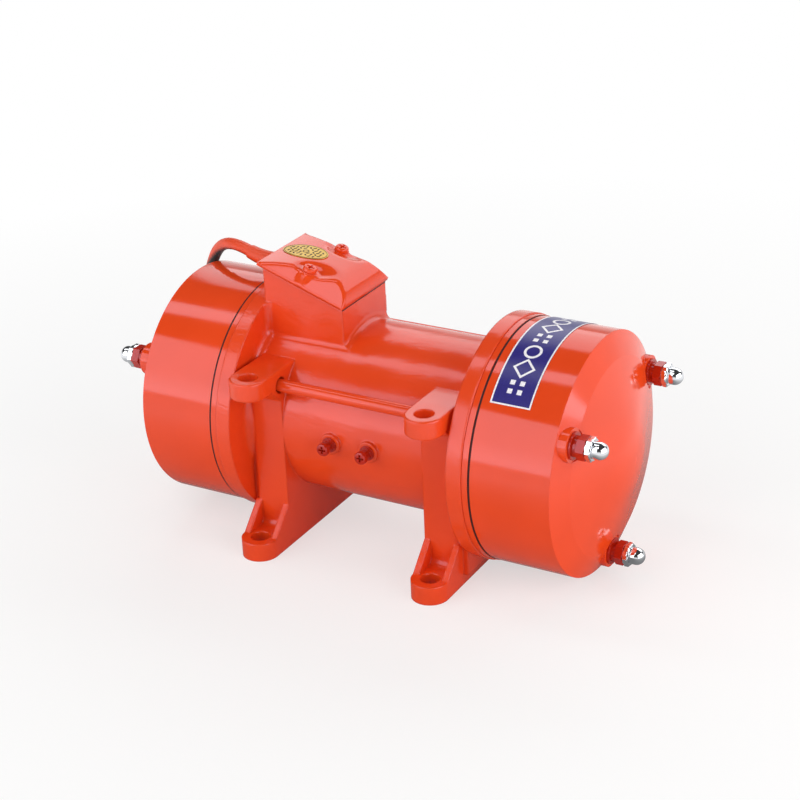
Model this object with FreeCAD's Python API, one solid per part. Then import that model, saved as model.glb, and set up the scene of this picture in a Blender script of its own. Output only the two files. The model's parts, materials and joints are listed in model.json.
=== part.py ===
import FreeCAD, Part
import math
import os
from FreeCAD import Placement, Rotation, Vector

# Three-phase vibration motor, millimetres. +X runs along the shaft to the labelled cover, the front is
# -Y, +Z is up, and the origin is on the floor under the middle of the motor.

# Fits and small clearances
FIT = 0.05              # radial clearance of a pushed or seated fit
RUN = 0.05              # radial clearance of a running fit
GAP = 0.3               # clearance between flat faces that pass each other

# Casing
AXIS_Z = 100.0          # shaft axis above the floor
BARREL_R = 71.0
BORE_R = 64.5           # bore for the stator
FLANGE_R = 96.5
FLANGE_IN = 95.0        # inner face of the end flanges from the middle
FLANGE_OUT = FLANGE_IN + 12.5     # joint face of the end flanges from the middle
FLANGE_FILLET = 7.0
SPIGOT_R = 70.0
SPIGOT_DEPTH = 5.0
SPIGOT_END = 1.0        # the spigot stops this far before the bottom of its seat
SPIGOT_WALL = 6.0
EDGE = 1.0              # chamfer of turned edges
FINE_EDGE = 0.4         # chamfer of edges that meet closely

# Legs, feet and upper lugs
HOLE_X = 76.6           # mounting holes from the middle, along the shaft
HOLE_Y = 91.3           # mounting holes from the shaft, across it
HOLE_R = 7.5
LEG_W = 30.0            # width of a foot, a lug and the leg's lower web
COLUMN_EDGE = 5.0       # round of the column's edge beside the flange
COLUMN_STEP = 5.0       # the fill between column and flange stands back by this
PAD_T = 15.0            # thickness of a foot
LUG_T = 15.0            # thickness of an upper lug
LUG_ROOT = 43.0         # the lugs start this far from the shaft
WEDGE_REACH = 11.0      # wedge under a lug, out from the column and down
LUG_TOP = AXIS_Z + 53.0         # top of the upper lugs above the floor
WEB_H = 36.0            # height of the lower web and of the foot's side walls
SADDLE_Z = 9.0          # underside of the web between leg and flange
SIDE_WALL = 5.0         # thickness of the foot's side walls
FOOT_ROUND = 6.0        # concave round between a foot and its column
CAST_EDGE = 1.5         # round of a lug's edges
CORE_WALL = 7.0         # walls round the pockets cored into a leg from below
CORE_Y = (12.0, 52.0)   # pocket from and to, across the shaft

# Tie rods that clamp both covers, the studs below them, and their nuts
ROD_R = 5.0
ROD_PITCH_R = 81.0
ROD_ANGLES = (150.0, 30.0)      # seen along the shaft, from the back upwards
STUD_ANGLE = 270.0
STUD_GRIP = 32.0        # length of a cover stud inside the casting
ROD_HOLE = 1.5          # radial clearance of a rod in its holes
WASHER_R = 10.5
WASHER_T = 2.0
SPRING_R = 8.1
SPRING_T = 3.2
NUT_FLATS = 16.6
NUT_T = 6.6
ACORN_HEX = 5.0         # height of the acorn nut's hexagon
ACORN_R = 6.8           # radius of its dome
ACORN_NECK = 3.8        # straight part between hexagon and dome

# End shields and covers
SHIELD_R = 95.5
SHIELD_T = 6.0
COVER_R = 95.0
COVER_T = 3.0
COVER_RIM = FLANGE_OUT + 70.5     # end of the cover's straight wall from the middle
CREASE_X = COVER_RIM + 8.0      # crease between the bevel and the dome
CREASE_R = 77.0
DOME_X = COVER_RIM + 26.0       # top of the dome
CONE_R = 30.0           # where the shallow cone ends in the round top
CONE_X = COVER_RIM + 21.7
SEAT_X = COVER_RIM + 7.6        # flat nut seats
SEAM_W = 1.0            # open seam between shield and cover
SEAM_DEPTH = 2.3
SEAT_R = 13.0
REGISTER = 4.0          # height of the shield's lip that centres the cover
REGISTER_WALL = 4.0

# Bearings (cylindrical rollers) and grease caps
BEARING_R = 36.0
BEARING_BORE = 15.0
BEARING_W = 19.0
BEARING_IN = FLANGE_OUT + 0.5     # inner face of a bearing from the middle
HUB_R = BEARING_R + 10.0
HUB_LIP_R = 20.5
HUB_LIP_T = 4.0
OUTER_RACE_R = 31.0
INNER_RACE_R = 20.5
ROLLER_L = 12.0
ROLLERS = 11
RACE_LIP = 2.3
CAP_T = 5.0
CAP_SPIGOT = 2.0
CAP_SCREW_PITCH = BEARING_R + 5.0
CAP_SCREW_R = 2.5
CAP_SCREW_GRIP = 10.0
CAP_HEAD_R = 4.0
CAP_HEAD_T = 4.0
CAGE_WALL = 1.6         # the cage reaches this far to both sides of the rollers' pitch circle

# Stator and rotor
STACK_HALF = 45.0       # half length of stator and rotor stacks
STATOR_BORE = 36.0
SLOTS = 24
SLOT_W = 4.6
SLOT_R = 54.0
LINER = 0.3             # slot insulation
WINDING_R = (40.0, 60.0)
WINDING_OUT = 70.0      # end of the windings' overhang from the middle
WINDING_NOSE = 4.0      # bevel of the overhang
AIR_GAP = 0.4
RING_T = 9.0            # end rings of the rotor cage
RING_R = (23.0, 34.0)
FINS = 8
FIN_T = 3.0
FIN_H = 7.0

# Shaft and eccentric weights
SHAFT_CORE_R = 19.0
SHOULDER_R = 17.5
SHAFT_WEIGHT_R = 14.0
THREAD_R = 12.0
SLEEVE_R = 19.0
SLEEVE_T = 7.0
WEIGHT_T = 18.0
WEIGHT_R = 70.0
WEIGHT_HUB_R = 26.0
WEIGHT_ROOT = 23.4      # half width of the sector where it meets the hub
WEIGHT_SPAN = 150.0     # angle of the heavy sector
KEY_W = 8.0
KEY_DEPTH = 4.0
KEY_RISE = 3.2          # height of the keyway in the weight
KEY_END = 1.0           # the keyway stops this far inside the weight's faces
LUG_HALF = 15.0         # half width of the clamp lug
LUG_RISE = 42.0
CLAMP_SLIT = 3.0
CLAMP_R = 4.0
CLAMP_Z = 34.0
CLAMP_FLATS = 13.0
CLAMP_HEAD_T = 5.5
CLAMP_NUT_T = 6.5
CLAMP_END = 8.0         # the bolt reaches this far past the lug
END_NUT_FLATS = 36.0
END_NUT_T = 13.0
END_WASHER_R = 22.0
END_WASHER_T = 3.0

# Terminal box: it stands on the barrel beside the left flange, under a sloping lid
BOX_START = -FLANGE_IN - 0.5    # its left wall grows out of the flange
BOX_X = (BOX_START, BOX_START + 70.5)
BOX_HALF = 33.0
BOX_WALL = 5.0
BOX_ROUND = 6.0         # concave round between the box and the barrel
LID_LEFT = (BOX_X[0] - 3.5, AXIS_Z + 123.8)     # lower left edge of the lid, x and z
LID_RIGHT = (BOX_X[1] + 1.5, AXIS_Z + 97.7)
LID_HALF = 35.5
LID_T = 2.0
LID_RIM = 2.5
LID_CROWN = 13.0
GASKET_T = 1.5
LID_SEAT_H = 8.0        # screw seats above the lid's edge plane
LID_SEAT_Y = 24.0
LID_SEAT_R = 7.0
LID_SCOOP = 8.0         # the scoop round a seat widens by this over this height
LID_SCREW_R = 2.5
LID_SCREW_GRIP = 15.0   # length of a lid screw below the lid's edge plane
LID_WASHER_T = 1.0
LID_HEAD_R = 4.8
LID_HEAD_T = 3.2
LID_BOSS_R = 5.5
PLATE_HALF = (20.0, 13.0)       # half axes of the oval plate
PLATE_X = -13.0         # plate from the lid's middle, along the slope
PLATE_T = 0.5

# Terminal board
BOARD_X = (BOX_X[0] + 11.5, BOX_X[0] + 47.5)
BOARD_HALF = 17.5
BOARD_Z = (AXIS_Z + 80.0, AXIS_Z + 86.0)
PILLAR_R = 4.5
PILLAR_INSET = 5.0
STUD_R = 2.5
STUD_PITCH = 12.0
STUD_RISE = 12.0
STUD_TAIL = 2.0         # the stud's end below the board
TERMINAL_FLATS = 8.0
TERMINAL_NUT_T = 4.0
BOARD_SCREW_GRIP = 5.0
LEAD_R = 1.3
LEAD_HOLE_R = 8.0
LEAD_X = BOX_X[0] + 31.5

# Earth screws on the front of the barrel
EARTH_X = (-18.0, 15.5)
EARTH_BOSS_R = 8.5
EARTH_BOSS_Y = 73.5
EARTH_SCREW_R = 2.5
EARTH_HEAD_R = 4.6
EARTH_HEAD_Y = 85.0
EARTH_HEAD_T = 3.6
EARTH_WASHER_R = 6.0
EARTH_WASHER_T = 1.2
EARTH_SPRING_R = 4.5
EARTH_SPRING_T = 1.6

# Label band on the right cover
BAND_X = (FLANGE_OUT + 13.0, FLANGE_OUT + 45.2)
BAND_ANGLES = (41.0, 139.0)
BAND_T = 0.3

# Supply cable and its coil
CABLE_R = 4.75
CABLE_HOLE = (4.0, AXIS_Z + 109.5)      # y and z of the cable's way through the box wall
GROMMET_R = 6.5
GROMMET_LIP_R = 8.0
GROMMET_LIP = 2.0
RELIEF_ROOT_R = 7.6     # the grommet's sleeve tapers from this radius at the wall
RELIEF_TIP_R = 5.8
CORE_R = 1.4
CORE_OFFSET = 1.6       # cores from the cable's middle, each way
TIP_R = 0.9             # bared end of a core
TIP_L = 9.0
COIL_CENTRE = (-66.0, 184.0)
COIL_R = 52.0           # middle radius of the turns
COIL_LEAD = 36.0        # straight piece by which the cable runs into the coil
TAIL_X = (30.0, 59.0, 84.0)     # points of the sheathed tail beyond the coil's middle
COIL_SLACK = 0.4        # room of the turns inside the coil's outer form
FLOOR_GAP = 0.1
CABLE_POINTS = [
    (BOX_X[0] + 11.5, *CABLE_HOLE),
    (BOX_X[0] - 24.5, *CABLE_HOLE),
    (-150.0, 12.0, CABLE_HOLE[1] + 6.0),
    (-177.0, 26.0, AXIS_Z + 106.5),
    (-197.0, 38.0, AXIS_Z + 80.0),
    (-207.0, 43.0, AXIS_Z + 43.0),
    (-209.0, 53.0, AXIS_Z + 1.0),
    (-203.0, 71.0, 63.0),
    (-189.0, 93.0, 31.0),
    (-163.0, 114.0, 10.5),
    (-131.0, 127.25, CABLE_R + FLOOR_GAP),
]

AXIS = Vector(0, 0, AXIS_Z)
X_DIR = Vector(1, 0, 0)
Y_DIR = Vector(0, 1, 0)
Z_DIR = Vector(0, 0, 1)
ORIGIN = Vector(0, 0, 0)


# ---- helpers -------------------------------------------------------------------------------------
def outline_face(points, place):
    """Flat face inside 2-D corners; a corner written (through, end) is reached along an arc."""
    edges = []
    start = points[0]
    last = points[-1][1] if isinstance(points[-1][0], tuple) else points[-1]
    closed = math.dist(last, points[0]) < FIT / 10
    for corner in points[1:] + ([] if closed else [points[0]]):
        if isinstance(corner[0], tuple):
            through, end = corner
            edges.append(Part.Arc(place(*start), place(*through), place(*end)).toShape())
        else:
            end = corner
            edges.append(Part.LineSegment(place(*start), place(*end)).toShape())
        start = end
    return Part.Face(Part.Wire(edges))


def turned(points):
    """Solid of revolution about the shaft from (x, radius) corners."""
    face = outline_face(points, lambda x, r: Vector(x, 0, AXIS_Z + r))
    return face.revolve(AXIS, X_DIR, 360)


def prism_x(points, x0, x1):
    """Solid from (y, z) corners, extruded from x0 to x1."""
    return outline_face(points, lambda y, z: Vector(x0, y, z)).extrude(Vector(x1 - x0, 0, 0))


def block(x0, x1, y0, y1, z0, z1):
    return Part.makeBox(x1 - x0, y1 - y0, z1 - z0, Vector(x0, y0, z0))


def cylinder_x(x0, x1, radius, y=0.0, z=AXIS_Z):
    return Part.makeCylinder(radius, x1 - x0, Vector(x0, y, z), X_DIR)


def cylinder_z(x, y, z0, z1, radius):
    return Part.makeCylinder(radius, z1 - z0, Vector(x, y, z0), Z_DIR)


def ring_x(x0, x1, inner, outer, y=0.0, z=AXIS_Z):
    return cylinder_x(x0, x1, outer, y, z).cut(cylinder_x(x0, x1, inner, y, z))


def hexagon_x(x0, x1, flats, y=0.0, z=AXIS_Z):
    corner = flats / math.sqrt(3)
    angles = [math.radians(60 * i) for i in range(6)]
    points = [(y + corner * math.cos(a), z + corner * math.sin(a)) for a in angles]
    return prism_x(points, x0, x1)


def pierced_hexagon(thickness, flats, hole):
    """Plain nut along +X at the origin, to be placed."""
    body = hexagon_x(0.0, thickness, flats, 0.0, 0.0)
    return body.cut(cylinder_x(0.0, thickness, hole, 0.0, 0.0))


def mirror_x(shape):
    return shape.mirror(ORIGIN, X_DIR)


def mirror_y(shape):
    return shape.mirror(ORIGIN, Y_DIR)


def both_ends(shape):
    return [shape, mirror_x(shape)]


def fused(shapes):
    return shapes[0].multiFuse(shapes[1:]).removeSplitter()


def around(radius, angle):
    """(y, z) of a point at an angle round the shaft, from the back upwards."""
    a = math.radians(angle)
    return radius * math.cos(a), AXIS_Z + radius * math.sin(a)


def rod_places():
    return [around(ROD_PITCH_R, angle) for angle in ROD_ANGLES]


def stud_place():
    return around(ROD_PITCH_R, STUD_ANGLE)


def nut_places():
    """Where the covers are clamped: the tie rods and the stud below them."""
    return rod_places() + [stud_place()]


def turned_copies(shape, count):
    """Copies spread evenly round the shaft."""
    copies = []
    for i in range(count):
        copy = shape.copy()
        copy.rotate(AXIS, X_DIR, 360.0 * i / count)
        copies.append(copy)
    return copies


def route_wire(points):
    """Straight runs joined by tangent arcs, each as large as its shorter run allows."""
    points = [Vector(*p) for p in points]
    edges = []
    radii = []
    start = points[0]
    for before, corner, after in zip(points, points[1:], points[2:]):
        arrive = (corner - before).normalize()
        depart = (after - corner).normalize()
        half_turn = arrive.getAngle(depart) / 2
        setback = 0.45 * min((corner - before).Length, (after - corner).Length)
        radius = setback / math.tan(half_turn)
        inward = (depart - arrive).normalize()
        middle = corner + inward * (radius / math.cos(half_turn) - radius)
        enter = corner - arrive * setback
        leave = corner + depart * setback
        edges.append(Part.LineSegment(start, enter).toShape())
        edges.append(Part.Arc(enter, middle, leave).toShape())
        radii.append(radius)
        start = leave
    edges.append(Part.LineSegment(start, points[-1]).toShape())
    return Part.Wire(edges), radii


def bent_rod(points, radius):
    """Round rod or tube body that follows a route; returns the solid, its length and its radii."""
    wire, radii = route_wire(points)
    start = Vector(*points[0])
    circle = Part.Wire(Part.Circle(start, Vector(*points[1]) - start, radius).toShape())
    solid = wire.makePipeShell([circle], True, False)
    return solid, wire.Length, radii


# ---- casing --------------------------------------------------------------------------------------
def turned_casing():
    """Barrel and flanges as one turned casting, bored for the stator and the shields."""
    fillet = FLANGE_FILLET
    bend = fillet * (1 - math.sqrt(0.5))
    half = [
        (FLANGE_OUT, SPIGOT_R),
        (FLANGE_OUT, FLANGE_R - FINE_EDGE),
        (FLANGE_OUT - FINE_EDGE, FLANGE_R),
        (FLANGE_IN, FLANGE_R),
        (FLANGE_IN, BARREL_R + fillet),
        ((FLANGE_IN - bend, BARREL_R + bend), (FLANGE_IN - fillet, BARREL_R)),
        (0.0, BARREL_R),
        (0.0, BORE_R),
        (FLANGE_OUT - SPIGOT_DEPTH, BORE_R),
        (FLANGE_OUT - SPIGOT_DEPTH, SPIGOT_R),
    ]
    right = turned(half)
    return [right, mirror_x(right)]


def stadium(x, y, inner_y, z0, z1, radius):
    """Tongue with a round end at (x, y), which reaches to inner_y."""
    tongue = block(x - radius, x + radius, y, inner_y, z0, z1)
    return tongue.fuse(cylinder_z(x, y, z0, z1, radius))


def level_edges(solid):
    """Edges that lie flat, all round the top and the bottom face."""
    return [e for e in solid.Edges if e.BoundBox.ZLength < FIT]


def upright_edges(solid, x):
    """Upright edges in the plane at x."""
    return [e for e in solid.Edges
            if e.BoundBox.XLength < FIT and abs(e.BoundBox.Center.x - x) < FIT
            and e.BoundBox.YLength < FIT]


def front_foot():
    """Foot with side walls that slope down from the column to its round end."""
    half = LEG_W / 2
    outer = stadium(HOLE_X, -HOLE_Y, -BARREL_R + EDGE, 0.0, WEB_H, half)
    inner = stadium(HOLE_X, -HOLE_Y, -BARREL_R, PAD_T, WEB_H, half - SIDE_WALL)
    slope = prism_x([(-BARREL_R, WEB_H), (-BARREL_R, WEB_H + half), (-HOLE_Y - LEG_W, WEB_H + half),
                     (-HOLE_Y - LEG_W, PAD_T), (-HOLE_Y, PAD_T)],
                    HOLE_X - LEG_W, HOLE_X + LEG_W)
    bend = FOOT_ROUND * (1 - math.sqrt(0.5))
    corner = prism_x([(-BARREL_R + EDGE, PAD_T - EDGE), (-BARREL_R - FOOT_ROUND, PAD_T - EDGE),
                      (-BARREL_R - FOOT_ROUND, PAD_T),
                      ((-BARREL_R - bend, PAD_T + bend), (-BARREL_R, PAD_T + FOOT_ROUND)),
                      (-BARREL_R + EDGE, PAD_T + FOOT_ROUND)],
                     HOLE_X - half + EDGE, HOLE_X + half - EDGE)
    return outer.cut(inner).cut(slope).fuse(corner)


def front_lug():
    """Upper lug, with a wedge below it that carries it on the column and covers the tie rod."""
    under = LUG_TOP - LUG_T
    lug = stadium(HOLE_X, -HOLE_Y, -LUG_ROOT, under, LUG_TOP, LEG_W / 2).removeSplitter()
    lug = lug.makeFillet(CAST_EDGE, level_edges(lug))
    reach = WEDGE_REACH
    wedge = prism_x([(-BARREL_R + EDGE, under + EDGE), (-BARREL_R - reach, under + EDGE),
                     (-BARREL_R - reach, under), (-BARREL_R, under - reach),
                     (-BARREL_R + EDGE, under - reach)],
                    HOLE_X - LEG_W / 2, HOLE_X + LEG_W / 2 - COLUMN_EDGE)
    return [lug, wedge]


def leg_cores():
    """Pockets cored into the lower web from below, one each side of the bottom tie rod."""
    half = LEG_W / 2 - CORE_WALL
    pocket = block(HOLE_X - half, HOLE_X + half, -CORE_Y[1], -CORE_Y[0], -1.0, AXIS_Z)
    pocket = pocket.cut(cylinder_x(0.0, FLANGE_OUT, BARREL_R + CORE_WALL))
    return [pocket, mirror_y(pocket)]


def leg_solids():
    """One leg on the right: column, web, two feet and two lugs."""
    inner = HOLE_X - LEG_W / 2
    outer = inner + LEG_W
    column = block(inner, outer, -BARREL_R, BARREL_R, WEB_H - EDGE, LUG_TOP - LUG_T)
    column = column.makeFillet(COLUMN_EDGE, upright_edges(column, outer))
    web = block(inner, outer, -BARREL_R, BARREL_R, 0.0, WEB_H)
    back = BARREL_R - COLUMN_STEP
    fill = block(outer - COLUMN_EDGE, FLANGE_IN + EDGE, -back, back, WEB_H - EDGE, LUG_TOP - LUG_T)
    saddle = block(outer - EDGE, FLANGE_IN + EDGE, -back, back, SADDLE_Z, WEB_H)
    front = [front_foot()] + front_lug()
    return [column, web, fill, saddle] + front + [mirror_y(shape) for shape in front]


def mounting_holes():
    return [cylinder_z(x, y, -1.0, LUG_TOP + 1.0, HOLE_R)
            for x in (-HOLE_X, HOLE_X) for y in (-HOLE_Y, HOLE_Y)]


def lid_placement():
    """Frame of the lid: its middle, with x down the slope and z away from the box."""
    dx = LID_RIGHT[0] - LID_LEFT[0]
    dz = LID_RIGHT[1] - LID_LEFT[1]
    middle = Vector((LID_LEFT[0] + LID_RIGHT[0]) / 2, 0, (LID_LEFT[1] + LID_RIGHT[1]) / 2)
    return Placement(middle, Rotation(Y_DIR, math.degrees(math.atan2(-dz, dx))))


def lid_half_length():
    return math.hypot(LID_RIGHT[0] - LID_LEFT[0], LID_RIGHT[1] - LID_LEFT[1]) / 2


def on_lid(shape):
    shape.Placement = lid_placement().multiply(shape.Placement)
    return shape


def lid_screw_cylinder(y, radius, z0, z1):
    """Cylinder on a lid screw's line; z runs from the lid's edge plane."""
    return on_lid(cylinder_z(0.0, y, z0, z1, radius))


def box_solids():
    """Outer block of the terminal box, cut off under the gasket."""
    top = LID_LEFT[1] + LID_HALF
    outer = block(BOX_X[0], BOX_X[1], -BOX_HALF, BOX_HALF, AXIS_Z, top)
    above = on_lid(block(-2 * LID_HALF, 2 * LID_HALF, -2 * LID_HALF, 2 * LID_HALF,
                         -LID_RIM - GASKET_T, 3 * LID_HALF))
    return outer.cut(above)


def box_cavity():
    top = LID_LEFT[1] + LID_HALF
    cavity = block(BOX_X[0] + BOX_WALL, BOX_X[1] - BOX_WALL, -BOX_HALF + BOX_WALL,
                   BOX_HALF - BOX_WALL, AXIS_Z, top)
    cavity = cavity.cut(cylinder_x(BOX_X[0], BOX_X[1], BARREL_R))
    for y in (-LID_SEAT_Y, LID_SEAT_Y):
        cavity = cavity.cut(lid_screw_cylinder(y, LID_BOSS_R, -2 * LID_HALF, 0.0))
    for x in board_screw_places():
        cavity = cavity.cut(cylinder_z(x, 0.0, AXIS_Z, BOARD_Z[0], PILLAR_R))
    return cavity


def board_screw_places():
    return (BOARD_X[0] + PILLAR_INSET, BOARD_X[1] - PILLAR_INSET)


def box_holes():
    """Holes for the cable, the lid screws, the board screws and the phase leads."""
    y, z = CABLE_HOLE
    holes = [cylinder_x(BOX_X[0] - 1.0, BOX_X[0] + BOX_WALL + 1.0, GROMMET_R + FIT, y, z)]
    for side in (-LID_SEAT_Y, LID_SEAT_Y):
        holes.append(lid_screw_cylinder(side, LID_SCREW_R + FIT, -LID_SCREW_GRIP - 1.0, 1.0))
    for x in board_screw_places():
        bottom = BOARD_Z[0] - BOARD_SCREW_GRIP - 1.0
        holes.append(cylinder_z(x, 0.0, bottom, BOARD_Z[0] + 1.0, LID_SCREW_R + FIT))
    holes.append(cylinder_z(LEAD_X, 0.0, AXIS_Z + STATOR_BORE, AXIS_Z + BARREL_R + 3.0, LEAD_HOLE_R))
    return holes


def earth_cylinder(x, radius, y0, y1):
    """Cylinder on an earth screw's line, from y0 out to y1 in front of the shaft."""
    return Part.makeCylinder(radius, y1 - y0, Vector(x, -y0, AXIS_Z), -Y_DIR)


def box_on_barrel():
    """Barrel, flanges and terminal box, with a concave round where the box meets the barrel."""
    shape = fused(turned_casing() + [box_solids()])
    seam = []
    for edge in shape.Edges:
        middle = edge.valueAt((edge.FirstParameter + edge.LastParameter) / 2)
        on_barrel = abs(math.hypot(middle.y, middle.z - AXIS_Z) - BARREL_R) < FIT
        beside_box = abs(middle.y) < BOX_HALF + FIT and BOX_X[0] < middle.x < BOX_X[1] + FIT
        if on_barrel and beside_box and middle.z > AXIS_Z:
            seam.append(edge)
    return shape.makeFillet(BOX_ROUND, seam)


def motor_casing():
    solids = [box_on_barrel()]
    leg = leg_solids()
    solids += leg + [mirror_x(shape) for shape in leg]
    solids += [earth_cylinder(x, EARTH_BOSS_R, BORE_R + 2.0, EARTH_BOSS_Y) for x in EARTH_X]
    casing = solids[0].multiFuse(solids[1:])
    cuts = [cylinder_x(-FLANGE_OUT, FLANGE_OUT, BORE_R), box_cavity()]
    cuts += [cylinder_x(-FLANGE_OUT - 1, FLANGE_OUT + 1, ROD_R + ROD_HOLE, y, z)
             for y, z in rod_places()]
    cuts += both_ends(cylinder_x(FLANGE_OUT - STUD_GRIP, FLANGE_OUT + 1, ROD_R + FIT, *stud_place()))
    cuts += [earth_cylinder(x, EARTH_SCREW_R + FIT, BORE_R - 2.0, EARTH_BOSS_Y + 1.0) for x in EARTH_X]
    for core in leg_cores():
        cuts += both_ends(core)
    return casing.cut(cuts + mounting_holes() + box_holes()).removeSplitter()


# ---- shields, covers and their fasteners ---------------------------------------------------------
def hub_in():
    return BEARING_IN - CAP_SPIGOT


def hub_out():
    return BEARING_IN + BEARING_W + HUB_LIP_T


def end_shield():
    """Right shield: joint disc, spigot into the casing, lip for the cover and bearing housing."""
    cover_in = COVER_R - COVER_T - FIT
    spigot = SPIGOT_R - FIT
    spigot_in = FLANGE_OUT - SPIGOT_DEPTH + SPIGOT_END
    disc_out = FLANGE_OUT + SHIELD_T
    outline = [
        (hub_in(), BEARING_R + FIT),
        (hub_in(), HUB_R),
        (spigot_in, spigot - SPIGOT_WALL),
        (spigot_in, spigot),
        (FLANGE_OUT, spigot),
        (FLANGE_OUT, SHIELD_R - FINE_EDGE),
        (FLANGE_OUT + FINE_EDGE, SHIELD_R),
        (disc_out - SEAM_W, SHIELD_R),
        (disc_out - SEAM_W, SHIELD_R - SEAM_DEPTH),
        (disc_out, SHIELD_R - SEAM_DEPTH),
        (disc_out, cover_in),
        (disc_out + REGISTER, cover_in),
        (disc_out + REGISTER, cover_in - REGISTER_WALL),
        (disc_out, cover_in - REGISTER_WALL - EDGE),
        (disc_out, HUB_R + HUB_LIP_T),
        (disc_out + HUB_LIP_T, HUB_R),
        (hub_out(), HUB_R),
        (hub_out(), HUB_LIP_R),
        (hub_out() - HUB_LIP_T, HUB_LIP_R),
        (hub_out() - HUB_LIP_T, BEARING_R + FIT),
    ]
    shield = turned(outline)
    holes = [cylinder_x(FLANGE_IN, disc_out + REGISTER + 1, ROD_R + ROD_HOLE, y, z)
             for y, z in nut_places()]
    holes += cap_screw_cylinders(CAP_SCREW_R + FIT, hub_in() - 1.0, hub_in() + CAP_SCREW_GRIP + 2.0)
    return shield.cut(holes)


def cover_body(radius, rim, crease, cone, dome_x, start):
    """Turned form of the cover: straight wall, bevel, crease, shallow cone and round top."""
    sag = dome_x - cone[0]
    ball = (cone[1] ** 2 + sag ** 2) / (2 * sag)
    half_r = cone[1] / 2
    half_x = dome_x - ball + math.sqrt(ball ** 2 - half_r ** 2)
    return turned([(start, 0.0), (start, radius), (rim, radius), crease, cone,
                   ((half_x, half_r), (dome_x, 0.0))])


def end_cover():
    """Right cover: a pressed shell with a round flat seat at each tie rod."""
    start = FLANGE_OUT + SHIELD_T
    outer = cover_body(COVER_R, COVER_RIM, (CREASE_X, CREASE_R), (CONE_X, CONE_R), DOME_X, start)
    inner = cover_body(COVER_R - COVER_T, COVER_RIM - COVER_T / 2,
                       (CREASE_X - COVER_T, CREASE_R - COVER_T / 2), (CONE_X - COVER_T, CONE_R),
                       DOME_X - COVER_T, start - 1.0)
    seat_in = SEAT_X - COVER_T
    for y, z in nut_places():
        outer = outer.cut(cylinder_x(SEAT_X, DOME_X, SEAT_R, y, z))
        outer = outer.fuse(cylinder_x(COVER_RIM - SEAT_R, SEAT_X, SEAT_R, y, z))
        inner = inner.cut(cylinder_x(seat_in, DOME_X, SEAT_R + COVER_T, y, z))
        inner = inner.fuse(cylinder_x(COVER_RIM - SEAT_R, seat_in, SEAT_R - COVER_T, y, z))
    holes = [cylinder_x(seat_in - 1, SEAT_X + 1, ROD_R + ROD_HOLE / 2, y, z) for y, z in nut_places()]
    return outer.cut([inner] + holes).removeSplitter()


def thread_end():
    return nut_stack()[4] + ACORN_HEX + ACORN_NECK - 2.0


def tie_rods():
    return [cylinder_x(-thread_end(), thread_end(), ROD_R, y, z) for y, z in rod_places()]


def cover_studs():
    """Studs at the bottom, screwed into the casting."""
    y, z = stud_place()
    return both_ends(cylinder_x(FLANGE_OUT - STUD_GRIP, thread_end(), ROD_R, y, z))


def nut_stack():
    """Faces of the stack on a tie rod, from the seat outwards."""
    faces = [SEAT_X]
    for thickness in (WASHER_T, SPRING_T, NUT_T):
        faces.append(faces[-1] + thickness)
    return faces + [faces[-1]]


def at_rod_ends(make):
    """The same small part at both ends of each tie rod."""
    parts = []
    for y, z in nut_places():
        parts += both_ends(make(y, z))
    return parts


def flat_washer(y, z):
    seat, top = nut_stack()[:2]
    return ring_x(seat, top, ROD_R + FIT * 4, WASHER_R, y, z)


def spring_washer(y, z):
    low, high = nut_stack()[1:3]
    ring = ring_x(low, high, ROD_R + FIT * 4, SPRING_R, y, z)
    slit = block(low, high, y + ROD_R - 1.0, y + SPRING_R + 1.0, z - 0.6, z + 0.6)
    return ring.cut(slit)


def hex_nut(y, z):
    low, high = nut_stack()[2:4]
    nut = hexagon_x(low, high, NUT_FLATS, y, z).cut(cylinder_x(low, high, ROD_R + FIT, y, z))
    return nut.common(nut_dressing(low, high, y, z))


def nut_dressing(low, high, y, z):
    """Turned form that rounds off a hexagon's corners at both faces."""
    corner = NUT_FLATS / math.sqrt(3)
    body = turned([(low, 0.0), (low, corner - EDGE), (low + EDGE / 2, corner + EDGE / 2),
                   (high - EDGE / 2, corner + EDGE / 2), (high, corner - EDGE), (high, 0.0)])
    body.translate(Vector(0, y, z - AXIS_Z))
    return body


def acorn_nut(y, z):
    low = nut_stack()[4]
    shoulder = low + ACORN_HEX
    centre = shoulder + ACORN_NECK
    lean = ACORN_R * math.sqrt(0.5)
    dome = turned([(low, 0.0), (low, ACORN_R), (centre, ACORN_R),
                   ((centre + lean, lean), (centre + ACORN_R, 0.0))])
    dome.translate(Vector(0, y, z - AXIS_Z))
    base = hexagon_x(low, shoulder, NUT_FLATS, y, z).common(nut_dressing(low, shoulder, y, z))
    return dome.fuse(base).cut(cylinder_x(low, centre - 1.0, ROD_R + FIT, y, z)).removeSplitter()


# ---- bearings ------------------------------------------------------------------------------------
def roller_pitch():
    return (OUTER_RACE_R + INNER_RACE_R) / 2


def roller_radius():
    return (OUTER_RACE_R - INNER_RACE_R) / 2 - RUN


def race_edges(clearance):
    middle = BEARING_IN + BEARING_W / 2
    half = ROLLER_L / 2 + clearance
    return middle - half, middle + half


def bearing_outer_ring():
    low, high = race_edges(RUN * 2)
    lip = OUTER_RACE_R - RACE_LIP
    right = BEARING_IN + BEARING_W
    return turned([(BEARING_IN, lip), (BEARING_IN, BEARING_R), (right, BEARING_R), (right, lip),
                   (high, lip), (high, OUTER_RACE_R), (low, OUTER_RACE_R), (low, lip)])


def bearing_inner_ring():
    low = race_edges(RUN * 2)[0]
    right = BEARING_IN + BEARING_W
    return turned([(BEARING_IN, BEARING_BORE + FIT), (BEARING_IN, INNER_RACE_R + RACE_LIP),
                   (low, INNER_RACE_R + RACE_LIP), (low, INNER_RACE_R), (right, INNER_RACE_R),
                   (right, BEARING_BORE + FIT)])


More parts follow.
